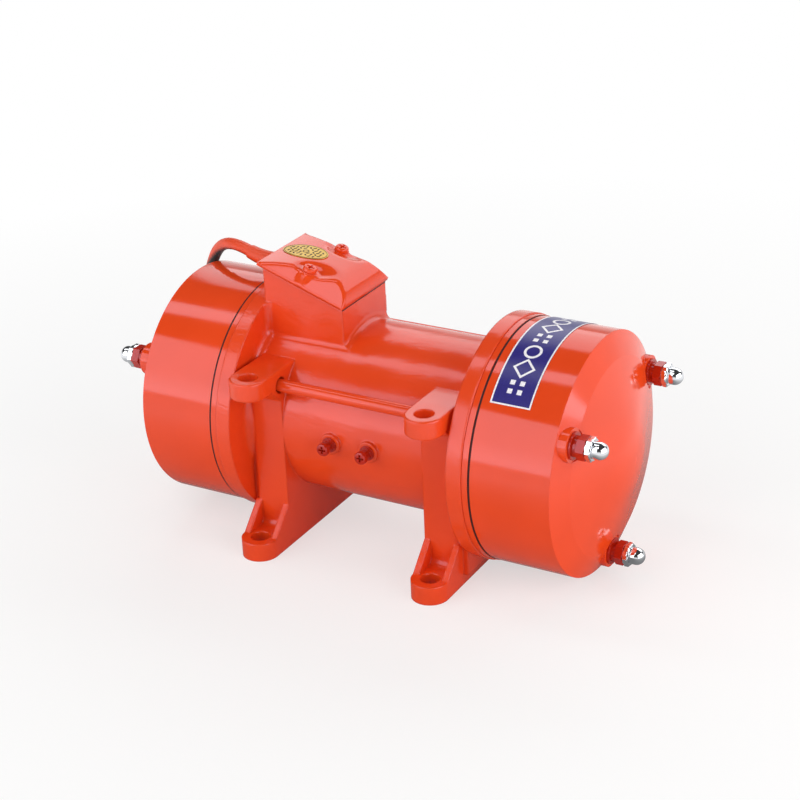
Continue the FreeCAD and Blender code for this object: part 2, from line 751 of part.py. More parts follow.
def rollers():
    middle = BEARING_IN + BEARING_W / 2
    roller = cylinder_x(middle - ROLLER_L / 2, middle + ROLLER_L / 2, roller_radius(),
                        0.0, AXIS_Z + roller_pitch())
    return turned_copies(roller, ROLLERS)


def roller_cage():
    """Ring with a window for each roller."""
    ring = ring_x(BEARING_IN + EDGE, BEARING_IN + BEARING_W - EDGE,
                  roller_pitch() - CAGE_WALL, roller_pitch() + CAGE_WALL)
    low, high = race_edges(RUN * 4)
    window = cylinder_x(low, high, roller_radius() + RUN * 3, 0.0, AXIS_Z + roller_pitch())
    return ring.cut(turned_copies(window, ROLLERS))


def cap_screw_cylinders(radius, x0, x1):
    places = [around(CAP_SCREW_PITCH, angle) for angle in (90.0, 210.0, 330.0)]
    return [cylinder_x(x0, x1, radius, y, z) for y, z in places]


def grease_cap():
    """Cap that holds the outer ring in the housing from the stator's side."""
    face = hub_in() - CAP_T
    cap = turned([(face, SHOULDER_R + 0.5), (face, HUB_R), (hub_in(), HUB_R), (hub_in(), BEARING_R - FIT),
                  (BEARING_IN, BEARING_R - FIT), (BEARING_IN, OUTER_RACE_R - RACE_LIP),
                  (hub_in() - 2.0, OUTER_RACE_R - RACE_LIP - 2.0), (hub_in() - 2.0, SHOULDER_R + 0.5)])
    return cap.cut(cap_screw_cylinders(CAP_SCREW_R + FIT, face - 1, hub_in() + 1))


def grease_cap_screws():
    face = hub_in() - CAP_T
    screws = []
    for head, shank in zip(cap_screw_cylinders(CAP_HEAD_R, face - CAP_HEAD_T, face),
                           cap_screw_cylinders(CAP_SCREW_R, face, hub_in() + CAP_SCREW_GRIP)):
        screws += both_ends(head.fuse(shank))
    return screws


# ---- stator --------------------------------------------------------------------------------------
def slot_bar(inner, outer, width, half_length):
    return block(-half_length, half_length, -width / 2, width / 2, AXIS_Z + inner, AXIS_Z + outer)


def stator_core():
    """Lamination stack with open slots."""
    stack = ring_x(-STACK_HALF, STACK_HALF, STATOR_BORE, BORE_R - FIT)
    slots = turned_copies(slot_bar(STATOR_BORE - 2.0, SLOT_R, SLOT_W, STACK_HALF + 1.0), SLOTS)
    return stack.cut(slots)


def stator_windings():
    """Slot sides and both overhangs of the winding, varnished into one piece."""
    low, high = WINDING_R
    face = STACK_HALF + LINER
    bevel = WINDING_OUT - WINDING_NOSE
    overhang = turned([(face, low), (face, high), (bevel, high), (WINDING_OUT, high - WINDING_NOSE),
                       (WINDING_OUT, low + WINDING_NOSE), (bevel, low)])
    bar = slot_bar(low + EDGE, SLOT_R - LINER, SLOT_W - 2 * LINER, face + EDGE)
    return fused(both_ends(overhang) + turned_copies(bar, SLOTS))


def phase_leads():
    """Three leads from the winding's overhang up to the terminal studs."""
    leads = []
    stud_foot = BOARD_Z[0] - STUD_TAIL
    for i in (-1, 0, 1):
        y = i * STUD_PITCH / 3
        points = [(LEAD_X, y, AXIS_Z + WINDING_R[1] + FIT), (LEAD_X, y, AXIS_Z + BARREL_R),
                  (stud_x(), max(2.25 * y, 0.2, key=abs), stud_foot - 2.5),
                  (stud_x(), i * STUD_PITCH, stud_foot - LEAD_R)]
        leads.append(bent_rod(points, LEAD_R)[0])
    return leads


# ---- terminal box contents and lid ---------------------------------------------------------------
def stud_x():
    return (BOARD_X[0] + BOARD_X[1]) / 2


def terminal_board():
    board = block(BOARD_X[0], BOARD_X[1], -BOARD_HALF, BOARD_HALF, BOARD_Z[0], BOARD_Z[1])
    holes = [cylinder_z(stud_x(), i * STUD_PITCH, BOARD_Z[0], BOARD_Z[1], STUD_R + FIT)
             for i in (-1, 0, 1)]
    holes += [cylinder_z(x, 0.0, BOARD_Z[0], BOARD_Z[1], LID_SCREW_R + FIT)
              for x in board_screw_places()]
    return board.cut(holes)


def terminal_board_screws():
    screws = []
    for x in board_screw_places():
        head = cylinder_z(x, 0.0, BOARD_Z[1], BOARD_Z[1] + LID_HEAD_T, LID_HEAD_R)
        shank = cylinder_z(x, 0.0, BOARD_Z[0] - BOARD_SCREW_GRIP, BOARD_Z[1], LID_SCREW_R)
        screws.append(head.fuse(shank))
    return screws


def terminal_studs():
    low, high = BOARD_Z[0] - STUD_TAIL, BOARD_Z[1] + STUD_RISE
    return [cylinder_z(stud_x(), i * STUD_PITCH, low, high, STUD_R)
            for i in (-1, 0, 1)]


def terminal_nuts():
    """One nut on each stud, made on the shaft's line and stood up on the board."""
    nuts = []
    for i in (-1, 0, 1):
        nut = pierced_hexagon(TERMINAL_NUT_T, TERMINAL_FLATS, STUD_R + FIT)
        nut.Placement = Placement(Vector(stud_x(), i * STUD_PITCH, BOARD_Z[1]), Rotation(Y_DIR, -90))
        nuts.append(nut)
    return nuts


def lid_form(inset):
    """Pillow of the lid in its own frame: an arch along the slope, hipped at front and back."""
    half = lid_half_length() - inset
    crown = LID_CROWN - inset
    arch = outline_face([(-half, 0.0), (half, 0.0), ((0.0, crown), (-half, 0.0))],
                        lambda x, z: Vector(x, -LID_HALF, z)).extrude(Vector(0, 2 * LID_HALF, 0))
    side = LID_HALF - inset
    hips = outline_face([(-side, 0.0), (side, 0.0), (side - crown - 1.0, crown + 1.0),
                         (-side + crown + 1.0, crown + 1.0)],
                        lambda y, z: Vector(-half - 1.0, y, z)).extrude(Vector(2 * half + 2.0, 0, 0))
    return arch.common(hips)


def terminal_box_lid():
    """Pressed lid with raised screw seats that are scooped into its hips."""
    length = lid_half_length()
    outer = lid_form(0.0)
    rim = block(-length, length, -LID_HALF, LID_HALF, -LID_RIM, 0.0)
    body = outer.fuse(rim)
    cavity = lid_form(LID_T).fuse(box_outline(BOX_WALL, -LID_RIM, EDGE))
    cavity = cavity.common(box_outline(BOX_WALL, -LID_RIM, LID_CROWN))
    holes = []
    for y in (-LID_SEAT_Y, LID_SEAT_Y):
        scoop = Part.makeCone(LID_SEAT_R, LID_SEAT_R + LID_SCOOP, LID_SCOOP, Vector(0, y, LID_SEAT_H))
        under = Part.makeCone(LID_SEAT_R + LID_T, LID_SEAT_R + LID_T + LID_SCOOP, LID_SCOOP,
                              Vector(0, y, LID_SEAT_H - LID_T))
        body = body.cut(scoop).fuse(cylinder_z(0.0, y, 0.0, LID_SEAT_H, LID_SEAT_R))
        cavity = cavity.cut([under, cylinder_z(0.0, y, -LID_RIM, LID_CROWN, LID_BOSS_R)])
        holes.append(cylinder_z(0.0, y, -LID_RIM, LID_SEAT_H + 1.0, LID_SCREW_R + FIT * 4))
    return on_lid(body.cut([cavity] + holes).removeSplitter())


def box_outline(inset, low, high):
    """The box's outline on the lid's slope, in the lid's own frame."""
    place = lid_placement()
    lean = place.Rotation.Angle
    middle = (sum(BOX_X) / 2 - place.Base.x) / math.cos(lean) + (LID_RIM + GASKET_T) * math.tan(lean)
    half = (BOX_X[1] - BOX_X[0]) / 2 / math.cos(lean) - inset
    return block(middle - half, middle + half, -BOX_HALF + inset, BOX_HALF - inset, low, high)


def lid_gasket():
    """Gasket on the box's walls and round the screws."""
    low, high = -LID_RIM - GASKET_T, -LID_RIM
    hole = box_outline(BOX_WALL, low, high)
    screws = []
    for y in (-LID_SEAT_Y, LID_SEAT_Y):
        hole = hole.cut(cylinder_z(0.0, y, low, high, LID_BOSS_R))
        screws.append(cylinder_z(0.0, y, low, high, LID_SCREW_R + FIT * 4))
    return on_lid(box_outline(0.0, low, high).cut([hole] + screws))


def lid_washers():
    washers = []
    for y in (-LID_SEAT_Y, LID_SEAT_Y):
        top = LID_SEAT_H + LID_WASHER_T
        washer = cylinder_z(0.0, y, LID_SEAT_H, top, LID_SEAT_R - EDGE)
        washers.append(on_lid(washer.cut(cylinder_z(0.0, y, LID_SEAT_H, top, LID_SCREW_R + FIT * 4))))
    return washers


def cross_head(x, y, z, radius, height):
    """Low domed screw head along +Z with a cross recess."""
    edge = outline_face([(0.0, 0.0), (radius, 0.0), (radius, height * 0.45),
                         ((radius * 0.72, height * 0.85), (0.0, height))],
                        lambda r, h: Vector(x + r, y, z + h))
    head = edge.revolve(Vector(x, y, z), Z_DIR, 360)
    arm = radius * 0.5
    slot = radius * 0.13
    deep = height * 0.5
    cross = [block(x - arm, x + arm, y - slot, y + slot, z + deep, z + 2 * height),
             block(x - slot, x + slot, y - arm, y + arm, z + deep, z + 2 * height)]
    return head.cut(cross)


def lid_screws():
    screws = []
    for y in (-LID_SEAT_Y, LID_SEAT_Y):
        seat = LID_SEAT_H + LID_WASHER_T
        head = cross_head(0.0, y, seat, LID_HEAD_R, LID_HEAD_T)
        shank = cylinder_z(0.0, y, -LID_SCREW_GRIP, seat, LID_SCREW_R)
        screws.append(on_lid(head.fuse(shank)))
    return screws


def lid_plate():
    """Thin oval plate bent to the lid's arch."""
    half = lid_half_length()
    ball = (half ** 2 + LID_CROWN ** 2) / (2 * LID_CROWN)
    centre = Vector(0, -LID_HALF, LID_CROWN - ball)
    shell = Part.makeCylinder(ball + PLATE_T + FIT, 2 * LID_HALF, centre, Y_DIR)
    shell = shell.cut(Part.makeCylinder(ball + FIT, 2 * LID_HALF, centre, Y_DIR))
    oval = Part.Ellipse(Vector(PLATE_X, 0, 0), PLATE_HALF[0], PLATE_HALF[1]).toShape()
    prism = Part.Face(Part.Wire(oval)).extrude(Vector(0, 0, LID_CROWN * 2))
    return on_lid(shell.common(prism))


def relief_sleeve():
    """Tapered sleeve of the grommet, which follows the cable's first bend."""
    straight, bend = route_wire(CABLE_POINTS[:3])[0].Edges[:2]
    start = Vector(BOX_X[0] - GROMMET_LIP, *CABLE_HOLE)
    knee = straight.valueAt(straight.LastParameter)
    tip = bend.valueAt(bend.LastParameter)
    path = Part.Wire([Part.LineSegment(start, knee).toShape(), bend])
    wide = Part.Wire(Part.Circle(start, X_DIR, RELIEF_ROOT_R).toShape())
    narrow = Part.Wire(Part.Circle(tip, bend.tangentAt(bend.LastParameter), RELIEF_TIP_R).toShape())
    return path.makePipeShell([wide, narrow], True, False)


def cable_grommet():
    """Rubber grommet in the box's wall, with the sleeve that keeps the cable from kinking."""
    y, z = CABLE_HOLE
    wall = BOX_X[0]
    body = turned([(wall - GROMMET_LIP, CABLE_R + FIT), (wall - GROMMET_LIP, GROMMET_LIP_R - EDGE),
                   (wall - GROMMET_LIP / 2, GROMMET_LIP_R), (wall, GROMMET_LIP_R), (wall, GROMMET_R),
                   (wall + BOX_WALL, GROMMET_R), (wall + BOX_WALL, GROMMET_LIP_R),
                   (wall + BOX_WALL + GROMMET_LIP, GROMMET_LIP_R),
                   (wall + BOX_WALL + GROMMET_LIP, CABLE_R + FIT)])
    body.translate(Vector(0, y, z - AXIS_Z))
    bore = bent_rod(CABLE_POINTS[:4], CABLE_R + FIT)[0]
    return body.fuse(relief_sleeve()).cut(bore).removeSplitter()


def earth_screws():
    screws = []
    for x in EARTH_X:
        head = cross_head(0.0, 0.0, 0.0, EARTH_HEAD_R, EARTH_HEAD_T)
        head.Placement = Placement(Vector(x, -(EARTH_HEAD_Y - EARTH_HEAD_T), AXIS_Z), Rotation(X_DIR, 90))
        shank = earth_cylinder(x, EARTH_SCREW_R, BORE_R + 1.0, EARTH_HEAD_Y - EARTH_HEAD_T)
        screws.append(head.fuse(shank))
    return screws


def earth_washers():
    washers = []
    for x in EARTH_X:
        face = EARTH_BOSS_Y
        for radius, thickness in ((EARTH_WASHER_R, EARTH_WASHER_T), (EARTH_SPRING_R, EARTH_SPRING_T)):
            washer = earth_cylinder(x, radius, face, face + thickness)
            washers.append(washer.cut(earth_cylinder(x, EARTH_SCREW_R + FIT, face, face + thickness)))
            face += thickness
    return washers


def label_band():
    """Thin curved plate over the top of the right cover."""
    low = COVER_R + FIT
    span = BAND_ANGLES[1] - BAND_ANGLES[0]
    face = outline_face([(BAND_X[0], low), (BAND_X[1], low), (BAND_X[1], low + BAND_T),
                         (BAND_X[0], low + BAND_T)], lambda x, r: Vector(x, r, AXIS_Z))
    face.rotate(AXIS, X_DIR, BAND_ANGLES[0])
    return face.revolve(AXIS, X_DIR, span)


# ---- rotor and weights ---------------------------------------------------------------------------
def bearing_out():
    return BEARING_IN + BEARING_W


def fixed_weight_x():
    low = bearing_out() + SLEEVE_T
    return low, low + WEIGHT_T


def adjustable_weight_x():
    low = fixed_weight_x()[1] + GAP
    return low, low + WEIGHT_T


def end_washer_x():
    low = adjustable_weight_x()[1] + GAP
    return low, low + END_WASHER_T


def key_x():
    """Ends of the keyway in the shaft."""
    low, high = fixed_weight_x()
    return low + KEY_END, high - KEY_END


def shaft():
    nut_out = end_washer_x()[1] + END_NUT_T
    half = [(0.0, 0.0), (0.0, SHAFT_CORE_R), (STACK_HALF + RING_T + 3.0, SHAFT_CORE_R),
            (STACK_HALF + RING_T + 5.0, SHOULDER_R), (BEARING_IN, SHOULDER_R),
            (BEARING_IN, BEARING_BORE), (fixed_weight_x()[0], BEARING_BORE),
            (fixed_weight_x()[0], SHAFT_WEIGHT_R), (end_washer_x()[0], SHAFT_WEIGHT_R),
            (end_washer_x()[0], THREAD_R), (nut_out + 1.0, THREAD_R), (nut_out + 2.0, THREAD_R - EDGE),
            (nut_out + 2.0, 0.0)]
    right = turned(half)
    body = right.fuse(mirror_x(right)).removeSplitter()
    low, high = key_x()
    keyways = both_ends(block(low, high, -KEY_W / 2, KEY_W / 2,
                              AXIS_Z + SHAFT_WEIGHT_R - KEY_DEPTH, AXIS_Z + BARREL_R))
    return body.cut(keyways)


def weight_keys():
    low, high = key_x()
    top = AXIS_Z + SHAFT_WEIGHT_R + KEY_RISE
    return both_ends(block(low + FIT, high - FIT, -KEY_W / 2 + FIT, KEY_W / 2 - FIT,
                           AXIS_Z + SHAFT_WEIGHT_R - KEY_DEPTH + FIT, top - FIT))


def weight_sector(x0, x1):
    """Heavy sector below the shaft with its hub."""
    a = math.radians(90.0 - WEIGHT_SPAN / 2)
    y = WEIGHT_R * math.cos(a)
    z = AXIS_Z - WEIGHT_R * math.sin(a)
    sector = prism_x([(-WEIGHT_ROOT, AXIS_Z), (-y, z), ((0.0, AXIS_Z - WEIGHT_R), (y, z)),
                      (WEIGHT_ROOT, AXIS_Z)], x0, x1)
    return sector.fuse(cylinder_x(x0, x1, WEIGHT_HUB_R))


def fixed_weight():
    low, high = fixed_weight_x()
    weight = weight_sector(low, high)
    keyway = block(low, high, -KEY_W / 2 - FIT, KEY_W / 2 + FIT, AXIS_Z,
                   AXIS_Z + SHAFT_WEIGHT_R + KEY_RISE)
    return weight.cut([cylinder_x(low, high, SHAFT_WEIGHT_R + FIT), keyway]).removeSplitter()


def clamp_cylinder(x, radius, y0, y1):
    return Part.makeCylinder(radius, y1 - y0, Vector(x, y0, AXIS_Z + CLAMP_Z), Y_DIR)


def adjustable_weight():
    """Weight that is turned on the shaft and clamped by its slit lug."""
    low, high = adjustable_weight_x()
    weight = weight_sector(low, high)
    lug = block(low, high, -LUG_HALF, LUG_HALF, AXIS_Z, AXIS_Z + LUG_RISE)
    slit = block(low, high, -CLAMP_SLIT / 2, CLAMP_SLIT / 2, AXIS_Z, AXIS_Z + LUG_RISE + 1.0)
    middle = (low + high) / 2
    cuts = [cylinder_x(low, high, SHAFT_WEIGHT_R + RUN), slit,
            clamp_cylinder(middle, CLAMP_R + FIT, -LUG_HALF - 1.0, LUG_HALF + 1.0)]
    return weight.fuse(lug).cut(cuts).removeSplitter()


def clamp_bolt():
    """Bolt across the lug, with its nut as a second solid."""
    middle = sum(adjustable_weight_x()) / 2
    height = AXIS_Z + CLAMP_Z
    shank = clamp_cylinder(middle, CLAMP_R, -LUG_HALF, LUG_HALF + CLAMP_END)
    head = hexagon_x(0.0, CLAMP_HEAD_T, CLAMP_FLATS, 0.0, 0.0)
    head.Placement = Placement(Vector(middle, -LUG_HALF - CLAMP_HEAD_T, height), Rotation(Z_DIR, 90))
    nut = pierced_hexagon(CLAMP_NUT_T, CLAMP_FLATS, CLAMP_R + FIT)
    nut.Placement = Placement(Vector(middle, LUG_HALF, height), Rotation(Z_DIR, 90))
    return [shank.fuse(head), nut]


def rotor_core():
    return ring_x(-STACK_HALF, STACK_HALF, SHAFT_CORE_R + FIT, STATOR_BORE - AIR_GAP)


def rotor_end_rings():
    """Cast end rings with fan fins."""
    low, high = RING_R
    ring = ring_x(STACK_HALF, STACK_HALF + RING_T, low, high)
    fin = block(STACK_HALF + RING_T - EDGE, STACK_HALF + RING_T + FIN_H, -FIN_T / 2, FIN_T / 2,
                AXIS_Z + low + EDGE, AXIS_Z + high - EDGE)
    return both_ends(fused([ring] + turned_copies(fin, FINS)))


def shaft_sleeve():
    return ring_x(bearing_out(), fixed_weight_x()[0], BEARING_BORE + FIT, SLEEVE_R)


def shaft_end_washer():
    low, high = end_washer_x()
    return ring_x(low, high, THREAD_R + FIT, END_WASHER_R)


def shaft_end_nut():
    low = end_washer_x()[1]
    return hexagon_x(low, low + END_NUT_T, END_NUT_FLATS).cut(
        cylinder_x(low, low + END_NUT_T, THREAD_R + FIT))


# ---- cable ---------------------------------------------------------------------------------------
def coil_floor():
    return FLOOR_GAP + CABLE_R


def coil_start():
    """Where the cable's tube meets the straight lead-in of the coil."""
    x, y = COIL_CENTRE
    return x - COIL_LEAD, y - COIL_R - CABLE_R, coil_floor()


def supply_cable():
    points = CABLE_POINTS + [coil_start()]
    tube, length, radii = bent_rod(points, CABLE_R)
    section = math.pi * CABLE_R ** 2
    print("cable tube length", round(length, 1), "volume ratio", round(tube.Volume / (section * length), 4))
    print("cable radii", [round(r, 1) for r in radii])
    print("cable runs", [round((Vector(*a) - Vector(*b)).Length, 1) for a, b in zip(points, points[1:])])
    return tube


def coil_turns():
    """Outline of three turns, two below and one nested on top, as (radius, height) corners."""
    low = coil_floor() + COIL_SLACK
    high = low + 2 * CABLE_R * math.sqrt(0.75)
    inner, outer = COIL_R - CABLE_R, COIL_R + CABLE_R
    skin = CABLE_R + COIL_SLACK

    def rim(radius, height, degrees):
        a = math.radians(degrees)
        return radius + skin * math.cos(a), height + skin * math.sin(a)

    return [rim(inner, low, -90), rim(outer, low, -90), (rim(outer, low, -30), rim(outer, low, 30)),
            rim(COIL_R, high, 30), (rim(COIL_R, high, 90), rim(COIL_R, high, 150)),
            rim(inner, low, 150), (rim(inner, low, 210), rim(inner, low, 270))]


def tail_points():
    """The cable's last stretch: off the top turn and down onto the floor."""
    x, y = COIL_CENTRE
    high = coil_floor() + COIL_SLACK + 2 * CABLE_R * math.sqrt(0.75)
    front = y - COIL_R
    return [(x, front, high), (x + TAIL_X[0], front - 1.0, high),
            (x + TAIL_X[1], front - 3.0, coil_floor()),
            (x + TAIL_X[2], front - 3.0, coil_floor())]


def cable_coil():
    """Closed form of the coiled turns with the straight lead-in and the tail."""
    x, y = COIL_CENTRE
    outline = outline_face(coil_turns(), lambda r, h: Vector(x + r, y, h))
    ring = outline.revolve(Vector(x, y, 0), Z_DIR, 360)
    start = coil_start()
    lead = cylinder_x(start[0], x, CABLE_R, start[1], start[2])
    tail = bent_rod(tail_points(), CABLE_R)[0]
    return fused([ring, lead, tail])


def core_routes():
    """Routes of the four cores that fan out of the sheath's end."""
    end = Vector(*tail_points()[-1])
    direction = (end - Vector(*tail_points()[-2])).normalize()
    routes = []
    for side, up, spread, length in ((-1, 1, -9.0, 40.0), (-1, -1, -3.0, 46.0),
                                     (1, -1, 4.0, 43.0), (1, 1, 10.0, 38.0)):
        start = end + Vector(0, side * CORE_OFFSET, up * CORE_OFFSET)
        knee = start + direction * (length * 0.4)
        tip = knee + direction * (length * 0.6) + Vector(0, spread, 0)
        tip.z = FLOOR_GAP + CORE_R + (1.5 if up > 0 else 0.0)
        routes.append([tuple(start), tuple(knee), tuple(tip)])
    return routes


def cable_cores():
    return [bent_rod(route, CORE_R)[0] for route in core_routes()]


def cable_core_ends():
    """Bared strands at the tips of the cores."""
    ends = []
    for route in core_routes():
        knee, tip = Vector(*route[1]), Vector(*route[2])
        ends.append(Part.makeCylinder(TIP_R, TIP_L, tip, tip - knee))
    return ends


def terminal_cores():
    """The cable's three live cores inside the box, from the sheath to the studs."""
    x0, y0, z0 = CABLE_POINTS[0]
    top = BOARD_Z[1] + TERMINAL_NUT_T + LEAD_R + FIT
    cores = []
    for i in (-1, 0, 1):
        y = i * STUD_PITCH
        side = i * (2 * LEAD_R + FIT)
        start = (x0 + FIT, y0 + side, z0)
        near = (x0 + 9.0, y0 + side, z0)
        drop = (stud_x() - STUD_R - LEAD_R - 3.0, y * 0.9, top + 5.0)
        end = (stud_x() - STUD_R - LEAD_R + 0.2, y, top)
        cores.append(bent_rod([start, near, drop, end], LEAD_R)[0])
    return cores


# ---- export --------------------------------------------------------------------------------------
def named_parts():
    """Every node's name with its shape or list of solids."""
    parts = {
        "motor_casing": motor_casing(), "tie_rods": tie_rods(), "cover_studs": cover_studs(),
        "cover_flat_washers": at_rod_ends(flat_washer),
        "cover_spring_washers": at_rod_ends(spring_washer),
        "cover_nuts": at_rod_ends(hex_nut), "acorn_nuts": at_rod_ends(acorn_nut),
        "stator_core": stator_core(), "stator_windings": stator_windings(),
        "phase_leads": phase_leads(), "terminal_board": terminal_board(),
        "terminal_board_screws": terminal_board_screws(), "terminal_studs": terminal_studs(),
        "terminal_nuts": terminal_nuts(), "terminal_box_lid": terminal_box_lid(),
        "lid_gasket": lid_gasket(), "lid_washers": lid_washers(), "lid_screws": lid_screws(),
        "lid_plate": lid_plate(), "cable_grommet": cable_grommet(),
        "terminal_cores": terminal_cores(), "earth_screws": earth_screws(),
        "earth_washers": earth_washers(), "label_band": label_band(),
        "grease_cap_screws": grease_cap_screws(), "shaft": shaft(), "rotor_core": rotor_core(),
        "rotor_end_rings": rotor_end_rings(), "weight_keys": weight_keys(),
        "shaft_sleeves": both_ends(shaft_sleeve()), "shaft_end_washers": both_ends(shaft_end_washer()),
        "shaft_end_nuts": both_ends(shaft_end_nut()), "supply_cable": supply_cable(),
        "cable_coil": cable_coil(), "cable_cores": cable_cores(), "cable_core_ends": cable_core_ends(),
    }
    handed = {
        "end_shield": end_shield, "end_cover": end_cover, "bearing_outer_ring": bearing_outer_ring,
        "bearing_inner_ring": bearing_inner_ring, "rollers": rollers, "roller_cage": roller_cage,
        "grease_cap": grease_cap, "fixed_weight": fixed_weight,
        "adjustable_weight": adjustable_weight, "clamp_bolt": clamp_bolt,
    }
    for name, make in handed.items():
        shape = make()
        right = shape if isinstance(shape, list) else [shape]
        parts["right_" + name] = right
        parts["left_" + name] = [mirror_x(solid) for solid in right]
    return parts


def main():
    os.makedirs("parts", exist_ok=True)
    for name, shape in named_parts().items():
        solids = []
        for piece in (shape if isinstance(shape, list) else [shape]):
            solids += piece.Solids
        result = solids[0] if len(solids) == 1 else Part.makeCompound(solids)
        if not result.isValid():
            print("invalid shape:", name)
        result.exportStep("parts/" + name + ".step")


main()
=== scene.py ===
import json
import math

import bmesh
import bpy
from bpy.props import FloatProperty, FloatVectorProperty, IntProperty, PointerProperty
from mathutils import Matrix, Vector


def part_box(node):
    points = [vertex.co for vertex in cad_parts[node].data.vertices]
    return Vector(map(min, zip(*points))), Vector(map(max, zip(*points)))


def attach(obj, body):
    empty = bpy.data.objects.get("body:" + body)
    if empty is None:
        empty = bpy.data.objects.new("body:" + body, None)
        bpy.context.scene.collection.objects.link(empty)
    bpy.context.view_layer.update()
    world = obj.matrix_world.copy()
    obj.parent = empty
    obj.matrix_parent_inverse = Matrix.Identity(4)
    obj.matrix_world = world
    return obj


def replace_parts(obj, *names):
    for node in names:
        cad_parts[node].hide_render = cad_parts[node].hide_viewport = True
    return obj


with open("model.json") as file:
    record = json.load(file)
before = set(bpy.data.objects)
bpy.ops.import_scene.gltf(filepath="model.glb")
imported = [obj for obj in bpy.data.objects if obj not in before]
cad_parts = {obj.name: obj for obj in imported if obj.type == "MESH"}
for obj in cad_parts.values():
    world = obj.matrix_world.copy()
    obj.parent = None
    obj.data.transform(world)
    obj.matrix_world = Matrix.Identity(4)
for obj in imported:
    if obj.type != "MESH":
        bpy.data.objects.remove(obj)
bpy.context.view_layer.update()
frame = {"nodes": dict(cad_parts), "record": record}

bl_info = {
    "name": "Vibration Motor Dresser",
    "version": (1, 0, 0),
    "blender": (4, 5, 0),
    "location": "3D View > Sidebar > Motor",
    "description": "Finishes the pieces of a foot-mounted vibration motor and sets its studio",
    "category": "Object",
}

NODES = frame["nodes"]

MM = 0.001
SHAFT_Z = 0.1           # height of the shaft's axis
COVER_R = 95.0          # outer radius of the round covers


# ---- colours and nodes -------------------------------------------------------
def linear(hex_colour):
    """Linear colour from an sRGB hex value."""
    values = [int(hex_colour[i:i + 2], 16) / 255 for i in (0, 2, 4)]
    return [v / 12.92 if v <= 0.04045 else ((v + 0.055) / 1.055) ** 2.4 for v in values]


def add(tree, kind, inputs=None, **settings):
    """Adds one node with its settings, and sets or links its inputs by name or number."""
    made = tree.nodes.new(kind)
    for name, value in settings.items():
        setattr(made, name, value)
    for key, value in (inputs or {}).items():
        if isinstance(value, bpy.types.NodeSocket):
            tree.links.new(value, made.inputs[key])
        else:
            made.inputs[key].default_value = value
    return made


def new_material(name, build):
    """Material whose tree is filled by build(tree), which returns the surface shader's node."""
    material = bpy.data.materials.new(name)
    material.use_nodes = True
    tree = material.node_tree
    tree.nodes.clear()
    shader = build(tree)
    add(tree, "ShaderNodeOutputMaterial", {"Surface": shader.outputs[0]})
    return material


def own_place(tree):
    """Point on the piece, in its own metres."""
    return add(tree, "ShaderNodeTexCoord").outputs["Object"]


def bumped(tree, height, strength, depth, **more):
    """Normal tilted by a height texture, depth metres deep."""
    return add(tree, "ShaderNodeBump", {
        "Strength": strength, "Distance": depth, "Height": height, **more}).outputs[0]


def ramp(tree, factor, stops):
    """Colour ramp from (position, colour) stops."""
    made = add(tree, "ShaderNodeValToRGB", {"Fac": factor})
    elements = made.color_ramp.elements
    for _ in stops[2:]:
        elements.new(0.5)
    for element, (position, colour) in zip(elements, stops):
        element.position = position
        element.color = (*colour, 1.0)
    return made.outputs["Color"]


def shade(colour, factor):
    """The colour made darker or lighter, with no channel above 1."""
    return [min(1.0, c * factor) for c in colour[:3]]


# ---- sizes and colours that a user would change ------------------------------
def colour_setting(name, words, hex_colour):
    """Colour that a user can change, given as an sRGB hex value."""
    return FloatVectorProperty(name=name, description=words, subtype="COLOR", size=3, min=0, max=1,
                               default=linear(hex_colour))


class MotorColours(bpy.types.PropertyGroup):
    enamel: colour_setting("Enamel", "Glossy enamel on the castings and covers", "E8481A")
    hardware: colour_setting("Painted nuts", "Darker enamel on the nuts and washers", "B4240C")
    label: colour_setting("Label", "Ground colour of the wrapped label", "241A78")
    plate: colour_setting("Plate", "Brass of the oval plate on the lid", "BC9A48")


class MotorSizes(bpy.types.PropertyGroup):
    cable: FloatProperty(
        name="Cable", description="Diameter of the supply cable",
        subtype="DISTANCE", unit="LENGTH", default=0.0095, min=0.005, max=0.02)
    turn: FloatProperty(
        name="Coil radius", description="Middle radius of the coil's turns",
        subtype="DISTANCE", unit="LENGTH", default=0.052, min=0.03, max=0.2)
    steps: IntProperty(
        name="Points per turn", description="Control points in each turn of the coil",
        default=15, min=12, max=24)
    glow: FloatProperty(
        name="Panel glow",
        description="Glow of the soft panels, in watts per square metre and steradian",
        default=2.0, min=0.1, max=20.0)


# ---- finishes ----------------------------------------------------------------
WAVE_BAND = math.pi / 10        # width of one band of the wave texture at scale 1


def cast_bump(tree, place, patches, wave, normal):
    """Uneven skin of a painted casting, wave millimetres high, laid over a normal."""
    # hollows of about 17 and 8 mm that the mould left
    hollows = add(tree, "ShaderNodeTexNoise", {
        "Vector": place, "Scale": 60.0, "Detail": 2.0, "Roughness": 0.4})
    # brush marks, 4 mm wide and 12 mm long, that show in some of the film's patches
    drawn = add(tree, "ShaderNodeMapping", {"Vector": place, "Scale": (0.35, 1.0, 1.0)})
    strokes = add(tree, "ShaderNodeTexNoise", {
        "Vector": drawn.outputs[0], "Scale": 240.0, "Detail": 2.0, "Distortion": 0.8})
    brushed = add(tree, "ShaderNodeMapRange", {
        "Value": patches, "From Min": 0.45, "From Max": 0.62, "To Min": 0.08, "To Max": 0.4})
    both = add(tree, "ShaderNodeMath", {
        0: strokes.outputs["Fac"], 1: brushed.outputs[0], 2: hollows.outputs["Fac"]},
        operation="MULTIPLY_ADD")
    return bumped(tree, both.outputs[0], 1.0, wave * MM, Normal=normal)


